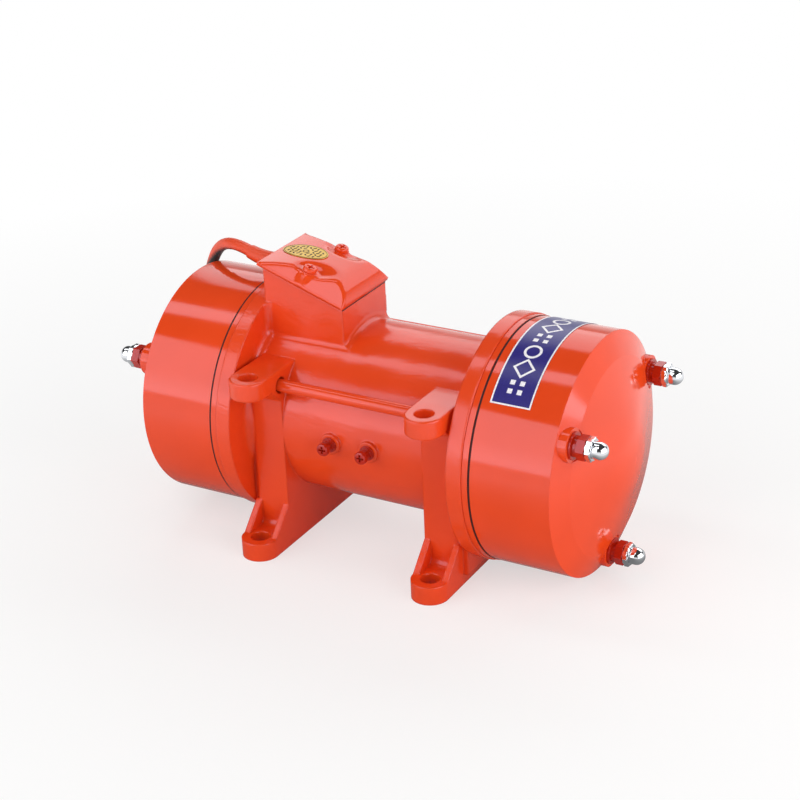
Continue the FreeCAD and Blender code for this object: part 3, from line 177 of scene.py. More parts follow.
def enamel(name, colour, wave, edge, gloss=(0.06, 0.16)):
    """Gloss enamel: a smooth film that mirrors the lamps softly over a saturated ground.

    wave is the height in millimetres of a casting's unevenness under the film, or 0 for sheet, edge
    the round of the corners in millimetres, and gloss the least and most roughness.
    """
    def build(tree):
        place = own_place(tree)
        # thicker and thinner film, in patches of about 60 mm
        patches = add(tree, "ShaderNodeTexNoise", {"Vector": place, "Scale": 16.0, "Detail": 2.0})
        tint = add(tree, "ShaderNodeMix", {
            "Factor": patches.outputs["Fac"], 6: (*shade(colour, 0.9), 1.0),
            7: (*shade(colour, 1.08), 1.0)}, data_type="RGBA")
        rounded = add(tree, "ShaderNodeBevel", {"Radius": edge * MM}, samples=8)
        # orange peel of sprayed enamel, about 2 mm across
        peel = add(tree, "ShaderNodeTexNoise", {"Vector": place, "Scale": 480.0, "Detail": 1.0})
        normal = bumped(tree, peel.outputs["Fac"], 0.1, 0.0001, Normal=rounded.outputs[0])
        if wave:
            normal = cast_bump(tree, place, patches.outputs["Fac"], wave, normal)
        sheen = add(tree, "ShaderNodeMapRange", {
            "Value": patches.outputs["Fac"], "To Min": gloss[0], "To Max": gloss[1]})
        # the violet tint of the gloss is painted light: it stands in for the cool colour of the
        # lamps in every reflection
        return add(tree, "ShaderNodeBsdfPrincipled", {
            "Base Color": tint.outputs[2], "Roughness": sheen.outputs[0], "Normal": normal,
            "Specular Tint": (0.92, 0.82, 1.0, 1.0), "Specular IOR Level": 0.6})
    return new_material(name, build)


def plated(name, colour, roughness, metallic=1.0):
    """Smooth metal with faint handling marks in its gloss."""
    def build(tree):
        place = own_place(tree)
        marks = add(tree, "ShaderNodeTexNoise", {"Vector": place, "Scale": 160.0, "Detail": 4.0})
        gloss = add(tree, "ShaderNodeMapRange", {
            "Value": marks.outputs["Fac"], "To Min": roughness * 0.7, "To Max": roughness * 1.4})
        rounded = add(tree, "ShaderNodeBevel", {"Radius": 0.0004}, samples=6)
        return add(tree, "ShaderNodeBsdfPrincipled", {
            "Base Color": (*colour, 1.0), "Metallic": metallic, "Roughness": gloss.outputs[0],
            "Normal": rounded.outputs[0]})
    return new_material(name, build)


def turned_steel(name, colour, roughness, pitch):
    """Machined metal with tool rings round the shaft, pitch millimetres apart."""
    def build(tree):
        place = own_place(tree)
        rings = add(tree, "ShaderNodeTexWave", {
            "Vector": place, "Scale": WAVE_BAND / (pitch * MM), "Distortion": 0.4,
            "Detail": 2.0}, bands_direction="X")
        skin = bumped(tree, rings.outputs["Fac"], 0.25, 0.0001)
        return add(tree, "ShaderNodeBsdfPrincipled", {
            "Base Color": (*colour, 1.0), "Metallic": 1.0, "Roughness": roughness,
            "Normal": skin})
    return new_material(name, build)


def bare_casting(name, colour, roughness, metallic):
    """Unpainted casting: a fine pitted skin, dull between the bright grains."""
    def build(tree):
        place = own_place(tree)
        sand = add(tree, "ShaderNodeTexNoise", {"Vector": place, "Scale": 700.0, "Detail": 4.0})
        tint = ramp(tree, sand.outputs["Fac"],
                    [(0.35, shade(colour, 0.7)), (0.65, shade(colour, 1.25))])
        skin = bumped(tree, sand.outputs["Fac"], 0.5, 0.0003)
        return add(tree, "ShaderNodeBsdfPrincipled", {
            "Base Color": tint, "Metallic": metallic, "Roughness": roughness,
            "Normal": skin})
    return new_material(name, build)


def stacked_sheet(name, colour):
    """Edges of varnished electrical sheet, drawn 2 mm apart so that they show."""
    def build(tree):
        place = own_place(tree)
        edges = add(tree, "ShaderNodeTexWave", {"Vector": place, "Scale": 157.0},
                    bands_direction="X", wave_profile="TRI")
        tint = ramp(tree, edges.outputs["Fac"],
                    [(0.1, shade(colour, 0.45)), (0.4, colour)])
        skin = bumped(tree, edges.outputs["Fac"], 0.4, 0.0002)
        return add(tree, "ShaderNodeBsdfPrincipled", {
            "Base Color": tint, "Metallic": 0.7, "Roughness": 0.45, "Normal": skin})
    return new_material(name, build)


def enamelled_wire(name, colour):
    """Varnished copper winding: crossing wires about 2 mm apart, under brown resin."""
    def build(tree):
        place = own_place(tree)
        weave = add(tree, "ShaderNodeTexNoise", {
            "Vector": place, "Scale": 500.0, "Detail": 2.0, "Distortion": 0.6})
        tint = ramp(tree, weave.outputs["Fac"],
                    [(0.3, shade(colour, 0.4)), (0.6, colour)])
        skin = bumped(tree, weave.outputs["Fac"], 0.6, 0.0005)
        return add(tree, "ShaderNodeBsdfPrincipled", {
            "Base Color": tint, "Metallic": 0.6, "Roughness": 0.35, "Normal": skin,
            "Coat Weight": 0.4, "Coat Roughness": 0.15})
    return new_material(name, build)


def moulded(name, colour, roughness):
    """Moulded rubber or resin with a fine matt grain."""
    def build(tree):
        place = own_place(tree)
        grain = add(tree, "ShaderNodeTexNoise", {"Vector": place, "Scale": 900.0, "Detail": 3.0})
        tint = ramp(tree, grain.outputs["Fac"],
                    [(0.3, shade(colour, 0.85)), (0.7, shade(colour, 1.15))])
        skin = bumped(tree, grain.outputs["Fac"], 0.2, 0.0002)
        return add(tree, "ShaderNodeBsdfPrincipled", {
            "Base Color": tint, "Roughness": roughness, "Normal": skin})
    return new_material(name, build)


def painted_sheath(name, rubber, paint):
    """Rubber sheath sprayed from above near the box: bare low down and on its underside."""
    def build(tree):
        place = own_place(tree)
        split = add(tree, "ShaderNodeSeparateXYZ", {0: place})
        up = add(tree, "ShaderNodeSeparateXYZ", {
            0: add(tree, "ShaderNodeNewGeometry").outputs["Normal"]}).outputs["Z"]
        # how near the box a place is, by its height in metres
        near = add(tree, "ShaderNodeMapRange", {
            "Value": split.outputs["Z"], "From Min": 0.15, "From Max": 0.205,
            "To Min": -1.3, "To Max": 0.6})
        dust = add(tree, "ShaderNodeTexNoise", {"Vector": place, "Scale": 500.0, "Detail": 4.0})
        cover = add(tree, "ShaderNodeMath", {0: near.outputs[0], 1: up}, operation="ADD")
        speck = add(tree, "ShaderNodeMath", {
            0: dust.outputs["Fac"], 1: 0.5, 2: cover.outputs[0]}, operation="MULTIPLY_ADD")
        # the paint ends in specks, where what falls from above gets thin
        mask = add(tree, "ShaderNodeMapRange", {
            "Value": speck.outputs[0], "From Min": 0.0, "From Max": 0.55})
        tint = add(tree, "ShaderNodeMix", {
            "Factor": mask.outputs[0], 6: (*rubber, 1.0), 7: (*paint, 1.0)}, data_type="RGBA")
        skin = bumped(tree, dust.outputs["Fac"], 0.2, 0.0002)
        return add(tree, "ShaderNodeBsdfPrincipled", {
            "Base Color": tint.outputs[2], "Roughness": 0.42, "Normal": skin})
    return new_material(name, build)


def finishes():
    """Every finish by the record's slot name, and the extra ones that OWN_FINISH names."""
    colours = bpy.context.scene.motor_colours
    red, dark = list(colours.enamel), list(colours.hardware)
    return {
        # sprayed alkyd enamel on pressed steel: a flat mirror-like film over saturated orange red
        "red_enamel": enamel("pressed_steel_gloss_enamel", red, 0.0, 0.5),
        # the same enamel on a sand casting: softer, wavy panels of light and rounder corners
        "cast_enamel": enamel("cast_iron_gloss_enamel", red, 0.5, 2.0, (0.12, 0.24)),
        # a second, darker coat brushed over bolts: thick and wet at the corners; on the earth
        # screws and washers this dark is painted shade
        "dark_red_enamel": enamel("brushed_dark_enamel_and_painted_shade", dark, 0.0, 0.4),
        # chromium plate on turned brass: a sharp black and white picture of the room
        "mirror_chrome": plated("mirror_chrome_plate", linear("E8EAEE"), 0.05),
        # rolled brass sheet: a warm, slightly blurred metal
        "brass": plated("rolled_brass", list(colours.plate), 0.3),
        # vinyl film, printed: a satin, even blue
        "blue_label": moulded("vinyl_label_film", list(colours.label), 0.3),
        # extruded neoprene: matt near-black with a fine grain
        "black_rubber": moulded("black_neoprene", linear("1B1B1C"), 0.55),
        # the same neoprene under orange spray: black that turns to orange in specks
        "painted_rubber": painted_sheath("neoprene_with_overspray", linear("1B1B1C"), red),
        # extruded PVC: smooth satin brown
        "core_insulation": moulded("core_insulation_pvc", linear("7A4B2A"), 0.4),
        # drawn copper under brown varnish: warm metal strands with a glassy skin
        "copper": enamelled_wire("varnished_copper", linear("C06A32")),
        # punched and stacked silicon steel: grey bands edge on
        "lamination_steel": stacked_sheet("stacked_electrical_sheet", linear("7C7F85")),
        # turned carbon steel: bright with fine tool rings
        "machined_steel": turned_steel("turned_steel", linear("B4B6BA"), 0.3, 1.2),
        # ground and lapped chromium steel: nearly a mirror
        "bearing_steel": plated("ground_bearing_steel", linear("CFD2D6"), 0.12),
        # sand-cast grey iron, unpainted: dark, dull and pitted
        "cast_iron": bare_casting("grey_iron_casting", linear("5E5F63"), 0.6, 0.6),
        # pressure die-cast aluminium: pale satin metal
        "cast_aluminium": bare_casting("die_cast_aluminium", linear("B9BBBE"), 0.4, 1.0),
        # machined bronze-coloured brass: yellow metal with tool rings
        "cage_brass": turned_steel("machined_brass", linear("C8A055"), 0.28, 1.0),
        # moulded phenolic: dark brown, dense and satin
        "board_resin": moulded("moulded_phenolic", linear("3A2618"), 0.45),
    }


# Pieces of one slot that the paint left different from the rest of it; on the earth washers the
# darker enamel is painted shade.
OWN_FINISH = {"motor_casing": "cast_enamel", "cable_grommet": "painted_rubber",
              "earth_washers": "dark_red_enamel"}


class MOTOR_OT_finishes(bpy.types.Operator):
    """Give every CAD piece the finish of its material slot"""
    bl_idname = "motor.finishes"
    bl_label = "Finishes"

    def execute(self, context):
        made = finishes()
        for part in frame["record"]["subparts"]:
            name = part["node"]
            slot = OWN_FINISH.get(name, part["material_slot"])
            mesh = NODES[name].data
            mesh.materials.clear()
            mesh.materials.append(made[slot])
        return {"FINISHED"}


# ---- making pieces -----------------------------------------------------------


def piece_from(name, bm, finish):
    """Object of the finished mesh, which rides on the housing."""
    bmesh.ops.recalc_face_normals(bm, faces=bm.faces)
    mesh = bpy.data.meshes.new(name)
    bm.to_mesh(mesh)
    bm.free()
    mesh.materials.append(finish)
    return housed(bpy.data.objects.new(name, mesh))


def housed(piece):
    """Puts a piece in the scene, on the housing."""
    if piece.name not in bpy.context.scene.collection.objects:
        bpy.context.scene.collection.objects.link(piece)
    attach(piece, "housing")
    return piece


def smooth_sides(mesh, degrees):
    """Smooth shading across edges flatter than this angle."""
    for face in mesh.polygons:
        face.use_smooth = True
    mesh.set_sharp_from_angle(angle=math.radians(degrees))


def repeat_tree():
    """Geometry Nodes: one small piece on every point, turned by the point's own angles."""
    tree = bpy.data.node_groups.new("piece_on_places", "GeometryNodeTree")
    face = tree.interface
    face.new_socket("Places", in_out="INPUT", socket_type="NodeSocketGeometry")
    face.new_socket("Piece", in_out="INPUT", socket_type="NodeSocketObject")
    face.new_socket("Size", in_out="INPUT", socket_type="NodeSocketFloat").default_value = 1.0
    face.new_socket("Finish", in_out="INPUT", socket_type="NodeSocketMaterial")
    face.new_socket("Geometry", in_out="OUTPUT", socket_type="NodeSocketGeometry")
    given = tree.nodes.new("NodeGroupInput").outputs
    piece = add(tree, "GeometryNodeObjectInfo", {"Object": given["Piece"]})
    turn = add(tree, "GeometryNodeInputNamedAttribute", {"Name": "turn"}, data_type="FLOAT_VECTOR")
    spread = add(tree, "GeometryNodeInstanceOnPoints", {
        "Points": given["Places"], "Instance": piece.outputs["Geometry"],
        "Rotation": turn.outputs["Attribute"], "Scale": given["Size"]})
    real = add(tree, "GeometryNodeRealizeInstances", {0: spread.outputs[0]})
    painted = add(tree, "GeometryNodeSetMaterial", {
        "Geometry": real.outputs[0], "Material": given["Finish"]})
    add(tree, "NodeGroupOutput", {0: painted.outputs[0]})
    return tree


def repeated(name, source, places, finish, size=1.0):
    """Plain mesh of a small piece's bmesh on every (point, turn), made by the repeat tree."""
    seed = bpy.data.meshes.new(name + "_seed")
    bmesh.ops.recalc_face_normals(source, faces=source.faces)
    source.to_mesh(seed)
    source.free()
    one = bpy.data.objects.new(name + "_seed", seed)
    points = bpy.data.meshes.new(name)
    points.from_pydata([place for place, turn in places], [], [])
    turns = points.attributes.new("turn", "FLOAT_VECTOR", "POINT")
    for made, (place, turn) in zip(turns.data, places):
        made.vector = turn
    carrier = bpy.data.objects.new(name, points)
    for made in (one, carrier):
        bpy.context.scene.collection.objects.link(made)
    tree = bpy.data.node_groups.get("piece_on_places") or repeat_tree()
    modifier = carrier.modifiers.new("repeat", "NODES")
    modifier.node_group = tree
    sockets = {item.name: item.identifier for item in tree.interface.items_tree
               if item.in_out == "INPUT"}
    modifier[sockets["Piece"]] = one
    modifier[sockets["Size"]] = size
    modifier[sockets["Finish"]] = finish
    depsgraph = bpy.context.evaluated_depsgraph_get()
    mesh = bpy.data.meshes.new_from_object(carrier.evaluated_get(depsgraph), depsgraph=depsgraph)
    for made in (one, carrier):
        bpy.data.objects.remove(made)
    mesh.name = name
    return mesh


def hexagon_reach(flats, angle):
    """Distance from a hexagon's middle to its side in a direction."""
    side = math.pi / 3
    return flats / 2 / math.cos((angle % side) - side / 2)


def cross_reach(half, width, angle):
    """Distance from the middle of a cross recess to its side in a direction."""
    fold = angle % (math.pi / 2)
    fold = min(fold, math.pi / 2 - fold)
    return half / math.cos(fold) if math.tan(fold) <= width / half else width / math.sin(fold)


def lathed(profile, limit=None, segments=48):
    """Bmesh turned about +X from (x, radius) corners in millimetres.

    A radius may be a function of the angle, and limit is one that no corner goes past.
    """
    bm = bmesh.new()
    rings = []
    for x, radius in profile:
        ring = []
        for i in range(segments):
            angle = 2 * math.pi * i / segments
            reach = radius(angle) if callable(radius) else radius
            if limit:
                reach = min(reach, limit(angle))
            ring.append(bm.verts.new(Vector((x, reach * math.cos(angle),
                                             reach * math.sin(angle))) * MM))
        rings.append(ring)
    for low, high in zip(rings, rings[1:]):
        for i in range(segments):
            j = (i + 1) % segments
            bm.faces.new((low[i], low[j], high[j], high[i]))
    bm.faces.new(rings[0])
    bm.faces.new(rings[-1])
    return bm


# ---- thin marks, drawn flat in millimetres and then bent to their places -----
def ring_mark(bm, sides, reach, width, low, high, stretch=1.0, turn=0.0, segments=48):
    """Outline of a regular polygon, or of a round with many sides, as a ring from low to high."""
    loops = []
    inner = reach - width
    for radius, height in ((reach, low), (reach, high), (inner, high), (inner, low)):
        loop = []
        for i in range(segments):
            angle = 2 * math.pi * i / segments
            wedge = 2 * math.pi / sides
            edge = radius * math.cos(wedge / 2) / math.cos(angle % wedge - wedge / 2)
            loop.append(bm.verts.new(Vector((edge * math.cos(angle + turn),
                                             edge * math.sin(angle + turn) * stretch, height))))
        loops.append(loop)
    for low_loop, high_loop in zip(loops, loops[1:] + loops[:1]):
        for i in range(segments):
            j = (i + 1) % segments
            bm.faces.new((low_loop[i], low_loop[j], high_loop[j], high_loop[i]))


def flat_bar(bm, x, y, low, high, steps=1):
    """Thin bar over x and y spans, cut across y into steps so that it can be bent."""
    rows = []
    for i in range(steps + 1):
        at = y[0] + (y[1] - y[0]) * i / steps
        rows.append([bm.verts.new(Vector(p)) for p in (
            (x[0], at, low), (x[1], at, low), (x[1], at, high), (x[0], at, high))])
    for before, after in zip(rows, rows[1:]):
        for i in range(4):
            j = (i + 1) % 4
            bm.faces.new((before[i], before[j], after[j], after[i]))
    bm.faces.new(rows[0])
    bm.faces.new(rows[-1])


def disc(bm, half, low, high, rings=10, segments=64):
    """Oval plate with these half axes, cut into rings so that it can be bent."""
    levels = []
    for height, order in ((high, range(1, rings + 1)), (low, range(rings, 0, -1))):
        for k in order:
            levels.append([bm.verts.new(Vector((
                half[0] * k / rings * math.cos(2 * math.pi * i / segments),
                half[1] * k / rings * math.sin(2 * math.pi * i / segments), height)))
                for i in range(segments)])
    for inner, outer in zip(levels, levels[1:]):
        for i in range(segments):
            j = (i + 1) % segments
            bm.faces.new((inner[i], inner[j], outer[j], outer[i]))
    bm.faces.new(levels[0])
    bm.faces.new(levels[-1])


def bent(mesh, to_place):
    """Moves every vertex of a flat mesh in millimetres to its place in metres."""
    for vertex in mesh.vertices:
        vertex.co = to_place(vertex.co) * MM
    mesh.update()
    return mesh


# ---- cover nuts --------------------------------------------------------------
ROD_PITCH = 81.0
ROD_ANGLES = (150.0, 30.0, 270.0)       # seen along the shaft, from the back upwards
NUT_FLATS = 16.6
DOME_LENGTH = 15.6


def dome_nut():
    """Acorn nut: chamfered hexagon, undercut neck and long dome."""
    corner = NUT_FLATS / math.sqrt(3)
    flat = NUT_FLATS / 2
    radius, neck, shoulder = 6.8, 6.1, 8.8
    profile = [(0.0, flat - 0.2), (0.9, corner), (4.0, corner), (4.9, flat - 0.1), (5.0, neck),
               (5.5, neck), (6.1, radius), (shoulder, radius)]
    steps = 9
    for i in range(1, steps):
        angle = math.pi / 2 * i / steps
        profile.append((shoulder + (DOME_LENGTH - shoulder) * math.sin(angle),
                        radius * math.cos(angle)))
    profile.append((DOME_LENGTH, 0.3))
    return lathed(profile, lambda angle: hexagon_reach(NUT_FLATS, angle))


def nut_places(x):
    """Places and turns of a part at both ends of the rods and studs, x from the middle."""
    places = []
    for degrees in ROD_ANGLES:
        angle = math.radians(degrees)
        y, z = ROD_PITCH * math.cos(angle) * MM, SHAFT_Z + ROD_PITCH * math.sin(angle) * MM
        places.append(((x, y, z), (0, 0, 0)))
        places.append(((-x, y, z), (0, 0, math.pi)))
    return places


class MOTOR_OT_dome_nuts(bpy.types.Operator):
    """Screw a chromed acorn nut on every rod and stud end"""
    bl_idname = "motor.dome_nuts"
    bl_label = "Dome nuts"

    def execute(self, context):
        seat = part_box("acorn_nuts")[1][0] - DOME_LENGTH * MM
        chrome = NODES["acorn_nuts"].data.materials[0]
        mesh = repeated("dome_nuts", dome_nut(), nut_places(seat), chrome)
        smooth_sides(mesh, 15)
        nuts = housed(bpy.data.objects.new("dome_nuts", mesh))
        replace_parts(nuts, "acorn_nuts")
        return {"FINISHED"}


# ---- lid ---------------------------------------------------------------------
LID_LEFT = Vector((-99.0, 0.0, 223.8))      # middle of the lid's upper and lower edge
LID_RIGHT = Vector((-23.5, 0.0, 197.7))
LID_SLOPE = LID_RIGHT - LID_LEFT
LID_TILT = math.atan2(-LID_SLOPE.z, LID_SLOPE.x)
LID_REACH = LID_SLOPE.length / 2    # half its length, down the slope
LID_HALF = 35.5                     # half its width
LID_CROWN, LID_RIM, LID_WALL = 13.0, 2.5, 2.0
LID_PEAK = 0.74         # where the crown is highest, as a share from the upper to the lower edge
LID_RISE = 1.8          # power of the curve up to the peak
LID_FALL = (2.2, 0.7)   # powers of the curve from the peak to the lower edge
LID_BLEND = 2.5         # how softly the crown, the hips and the scoops meet
LID_CELLS = (126, 112)  # down the slope and across it
SEAT_Y, SEAT_R, SEAT_H = 24.0, 6.2, 8.0
SEAT_SIDE, SEAT_BLEND = 1.5, 2.0    # slope of a screw seat's side, and how softly it meets the lid
SCOOP_SIDE = 0.6        # slope of the scoop round a seat
SCOOP_STRETCH = 0.6     # how much slower the scoop rises down the slope than across it


def lid_matrix():
    """Lid's frame in millimetres: x down the slope, z away from the box."""
    return Matrix.Translation((LID_LEFT + LID_RIGHT) / 2) @ Matrix.Rotation(LID_TILT, 4, "Y")


def soft_min(a, b, blend):
    """The lower of two heights, rounded where they meet."""
    return min(a, b) - max(blend - abs(a - b), 0.0) ** 2 / (4 * blend)


def lid_height(x, y):
    """Pressed form: a crown with a hip to each side, scooped round a raised seat at each screw."""
    share = (x + LID_REACH) / (2 * LID_REACH)
    if share < LID_PEAK:
        crown = LID_CROWN * (1 - (1 - share / LID_PEAK) ** LID_RISE)
    else:
        fall = min(1.0, (share - LID_PEAK) / (1 - LID_PEAK))
        crown = LID_CROWN * (1 - fall ** LID_FALL[0]) ** LID_FALL[1]
    hip = LID_HALF - abs(y)
    height = soft_min(crown, hip, LID_BLEND)
    off = abs(y) - SEAT_Y
    scoop = SEAT_H + SCOOP_SIDE * max(0.0, math.hypot(SCOOP_STRETCH * x, off) - SEAT_R)
    height = soft_min(height, scoop, LID_BLEND)
    seat = SEAT_H - SEAT_SIDE * max(0.0, math.hypot(x, off) - SEAT_R)
    return max(0.0, -soft_min(-height, -seat, SEAT_BLEND))


class MOTOR_OT_lid(bpy.types.Operator):
    """Press the terminal box's crowned lid"""
    bl_idname = "motor.lid"
    bl_label = "Terminal box lid"

    def execute(self, context):
        along, across = LID_CELLS
        place = lid_matrix()
        bm = bmesh.new()
        rows = []
        for j in range(-1, along + 2):
            x = LID_REACH * (2 * min(max(j, 0), along) / along - 1)
            row = []
            for i in range(-1, across + 2):
                y = LID_HALF * (2 * min(max(i, 0), across) / across - 1)
                skirt = i in (-1, across + 1) or j in (-1, along + 1)
                height = -LID_RIM if skirt else lid_height(x, y)
                row.append(bm.verts.new(place @ Vector((x, y, height)) * MM))
            rows.append(row)
        for low, high in zip(rows, rows[1:]):
            for a, b, c, d in zip(low, low[1:], high[1:], high):
                bm.faces.new((a, b, c, d))
        bmesh.ops.remove_doubles(bm, verts=bm.verts, dist=1e-6)
        finish = NODES["terminal_box_lid"].data.materials[0]
        lid = piece_from("pressed_lid", bm, finish)
        thick = lid.modifiers.new("wall", "SOLIDIFY")
        thick.thickness = LID_WALL * MM
        thick.offset = -1
        smooth_sides(lid.data, 50)
        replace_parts(lid, "terminal_box_lid")
        return {"FINISHED"}


# ---- cross-head screws -------------------------------------------------------
EARTH_X = (-18.0, 15.5)
EARTH_FACE = 85.0       # from the shaft's axis forward to the end of the heads
# Radius and thickness of the head, radius and length of the shank.
EARTH_SCREW = (5.2, 4.0, 3.1, 16.0)
LID_SCREW = (5.4, 3.4, 2.5, 6.0)
LID_WASHER = 1.0
RECESS_HALF, RECESS_ARM = 0.62, 0.17    # reach and half width of the arms, per head radius
RECESS_DEPTH, RECESS_TAPER = 2.4, 0.6


def cross_screw(reach, thick, shank, length):
    """Cheese-head screw with a cross recess, its head from x = 0 up and its shank below."""
    half, arm = reach * RECESS_HALF, reach * RECESS_ARM

    def recess(share):
        return lambda angle: cross_reach(half, arm, angle) * share
    return lathed([
        (-length, shank), (0.0, shank), (0.0, reach - 0.3), (0.4, reach), (thick - 1.3, reach),
        (thick - 0.4, reach - 0.5), (thick, reach - 1.3), (thick, recess(1.0)),
        (thick - RECESS_DEPTH, recess(RECESS_TAPER))], segments=72)


class MOTOR_OT_screws(bpy.types.Operator):
    """Drive the cross-head screws of the earth bosses and the lid"""
    bl_idname = "motor.screws"
    bl_label = "Cross-head screws"

    def execute(self, context):
        seat = EARTH_FACE - EARTH_SCREW[1]
        earth = [((x * MM, -seat * MM, SHAFT_Z), (0, 0, -math.pi / 2)) for x in EARTH_X]
        lean = math.pi / 2 - LID_TILT
        lid = [(lid_matrix() @ Vector((0, y, SEAT_H + LID_WASHER)) * MM, (0, -lean, 0))
               for y in (-SEAT_Y, SEAT_Y)]
        # the earth screws take the nuts' darker enamel: painted shade where shade falls on them
        for name, sizes, places, node, like in (
                ("earth_cross_screws", EARTH_SCREW, earth, "earth_screws", "cover_nuts"),
                ("lid_cross_screws", LID_SCREW, lid, "lid_screws", "lid_screws")):
            finish = NODES[like].data.materials[0]
            mesh = repeated(name, cross_screw(*sizes), places, finish)
            smooth_sides(mesh, 30)
            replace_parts(housed(bpy.data.objects.new(name, mesh)), node)
        return {"FINISHED"}


# ---- seams -------------------------------------------------------------------
SEAM_X = (112.5, 114.1)         # from the open seam onto the cover's edge
SEAM_REACH = COVER_R + 0.12
SEAM_DEPTH = 1.2


class MOTOR_OT_seams(bpy.types.Operator):
    """Lay a dark ring that paints the shadow in the open seam between shield and cover"""
    bl_idname = "motor.seams"
    bl_label = "Cover seams"

    def execute(self, context):
        # painted shadow of the open seam: a matt maroon black ring
        seam_shade = moulded("painted_seam_shadow", linear("360602"), 0.8)
        for name, side in (("left_seam_grease", -1), ("right_seam_grease", 1)):
            bm = bmesh.new()
            ring_mark(bm, 128, SEAM_REACH, SEAM_DEPTH, *SEAM_X, segments=128)
            line = piece_from(name, bm, seam_shade)
            line.data.transform(Matrix.Translation((0, 0, SHAFT_Z)) @ Matrix.Rotation(
                side * math.pi / 2, 4, "Y") @ Matrix.Scale(MM, 4))
            smooth_sides(line.data, 30)
        return {"FINISHED"}


# ---- oval plate --------------------------------------------------------------
BADGE_X = -18.5         # down the slope from the lid's middle
BADGE_HALF = (18.8, 12.2)
BADGE_THICK, BADGE_GAP = 0.4, 0.15      # the plate, and the gap under it
BADGE_EDGE, BADGE_LINE = 0.9, 0.5       # where the line along its edge starts, and its width
BADGE_RING = (2.6, 0.7)                 # reach and width of the ring in the middle
BADGE_MARK = (0.35, 0.5)                # foot and top of the marks, from the plate's underside
DASH_HALF = (0.6, 1.3)
DASH_PITCH = (3.3, 3.7)
DASH_SHIFT, DASH_TURN = 0.9, 0.7        # every second row is shifted, and dashes differ in turn
DASH_FREE, DASH_LAST = 4.0, 14.5        # free round in the middle, and how far out dashes go


def on_badge(point):
    """Place on the lid of a point on the flat badge."""
    x, y = point.x + BADGE_X, point.y
    return lid_matrix() @ Vector((x, y, lid_height(x, y) + BADGE_GAP + point.z))


def dash_places():
    """Places and turns of the dashes, in rows across the plate."""
    places = []
    for row in range(-4, 5):
        for column in range(-2, 3):
            x = row * DASH_PITCH[0]
            y = column * DASH_PITCH[1] + DASH_SHIFT * (row % 2)
            along = math.hypot(x, y * BADGE_HALF[0] / BADGE_HALF[1])
            if DASH_FREE < math.hypot(x, y) and along < DASH_LAST:
                turn = DASH_TURN * ((row + column) % 3 - 1)
                places.append(((x, y, BADGE_MARK[0]), (0, 0, turn)))
    return places


class MOTOR_OT_badge(bpy.types.Operator):
    """Fix the oval brass plate with its plain embossed marks"""
    bl_idname = "motor.badge"
    bl_label = "Oval plate"

    def execute(self, context):
        brass = NODES["lid_plate"].data.materials[0]
        bm = bmesh.new()
        disc(bm, BADGE_HALF, 0.0, BADGE_THICK)
        plate = piece_from("oval_plate", bm, brass)
        bent(plate.data, on_badge)
        smooth_sides(plate.data, 40)
        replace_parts(plate, "lid_plate")
        # brass darkened by etching: a dull brown metal
        dark = plated("etched_brass", linear("3A2C0C"), 0.45, 0.3)
        low, high = BADGE_MARK
        bm = bmesh.new()
        ring_mark(bm, 48, BADGE_HALF[0] - BADGE_EDGE, BADGE_LINE, low, high,
                  BADGE_HALF[1] / BADGE_HALF[0])
        ring_mark(bm, 24, *BADGE_RING, low, high, turn=0.1)
        border = piece_from("oval_plate_lines", bm, dark)
        bent(border.data, on_badge)
        bar = bmesh.new()
        flat_bar(bar, (-DASH_HALF[0], DASH_HALF[0]), (-DASH_HALF[1], DASH_HALF[1]), 0.0, high - low)
        mesh = repeated("oval_plate_dashes", bar, dash_places(), dark)
        housed(bpy.data.objects.new("oval_plate_dashes", bent(mesh, on_badge)))
        return {"FINISHED"}


# ---- label -------------------------------------------------------------------
LABEL_X = (120.5, 152.7)
LABEL_SPAN = 98.0       # degrees round the cover, half to each side of the top
LABEL_THICK, LABEL_GAP = 0.2, 0.1       # the film, and the gap under it
LABEL_LINE = 1.2                        # width of the white line along its edges
LINE_LIFT = (0.15, 0.26)                # foot and top of that line, from the film's underside
LABEL_STEPS = 72
MARK_PITCH, MARK_COUNT = 16.6, 9
MARK_LIFT, MARK_THICK = 0.18, 0.1
RING_MARK, DIAMOND_MARK = (7.0, 2.0), (9.0, 2.4)    # reach and width
DOT_PLACE, DOT_HALF = (3.9, 3.6), 1.9


def on_cover(point):
    """Place on the right cover of a point on the flat label, whose y runs forward from the top."""
    angle = point.y / COVER_R
    radius = COVER_R + LABEL_GAP + point.z
    return Vector((point.x, -radius * math.sin(angle), SHAFT_Z / MM + radius * math.cos(angle)))


def four_dots(bm):
    """Mark of four square dots."""
    for x in (-DOT_PLACE[0], DOT_PLACE[0]):
        for y in (-DOT_PLACE[1], DOT_PLACE[1]):
            flat_bar(bm, (x - DOT_HALF, x + DOT_HALF), (y - DOT_HALF, y + DOT_HALF), 0.0,
                     MARK_THICK, steps=3)


LABEL_MARKS = {
    "label_rings": lambda bm: ring_mark(bm, 48, *RING_MARK, 0.0, MARK_THICK),
    "label_diamonds": lambda bm: ring_mark(bm, 4, *DIAMOND_MARK, 0.0, MARK_THICK),
    "label_dots": four_dots,
}


def border_lines(bm, reach):
    """White line along the label's four edges, reach to each side of the top."""
    low, high = LINE_LIFT
    for edge in LABEL_X:
        inward = LABEL_LINE if edge == LABEL_X[0] else -LABEL_LINE
        flat_bar(bm, sorted((edge, edge + inward)), (-reach, reach), low, high, LABEL_STEPS)
    for y in (-reach, reach - LABEL_LINE):
        flat_bar(bm, (LABEL_X[0] + LABEL_LINE, LABEL_X[1] - LABEL_LINE), (y, y + LABEL_LINE),
                 low, high)


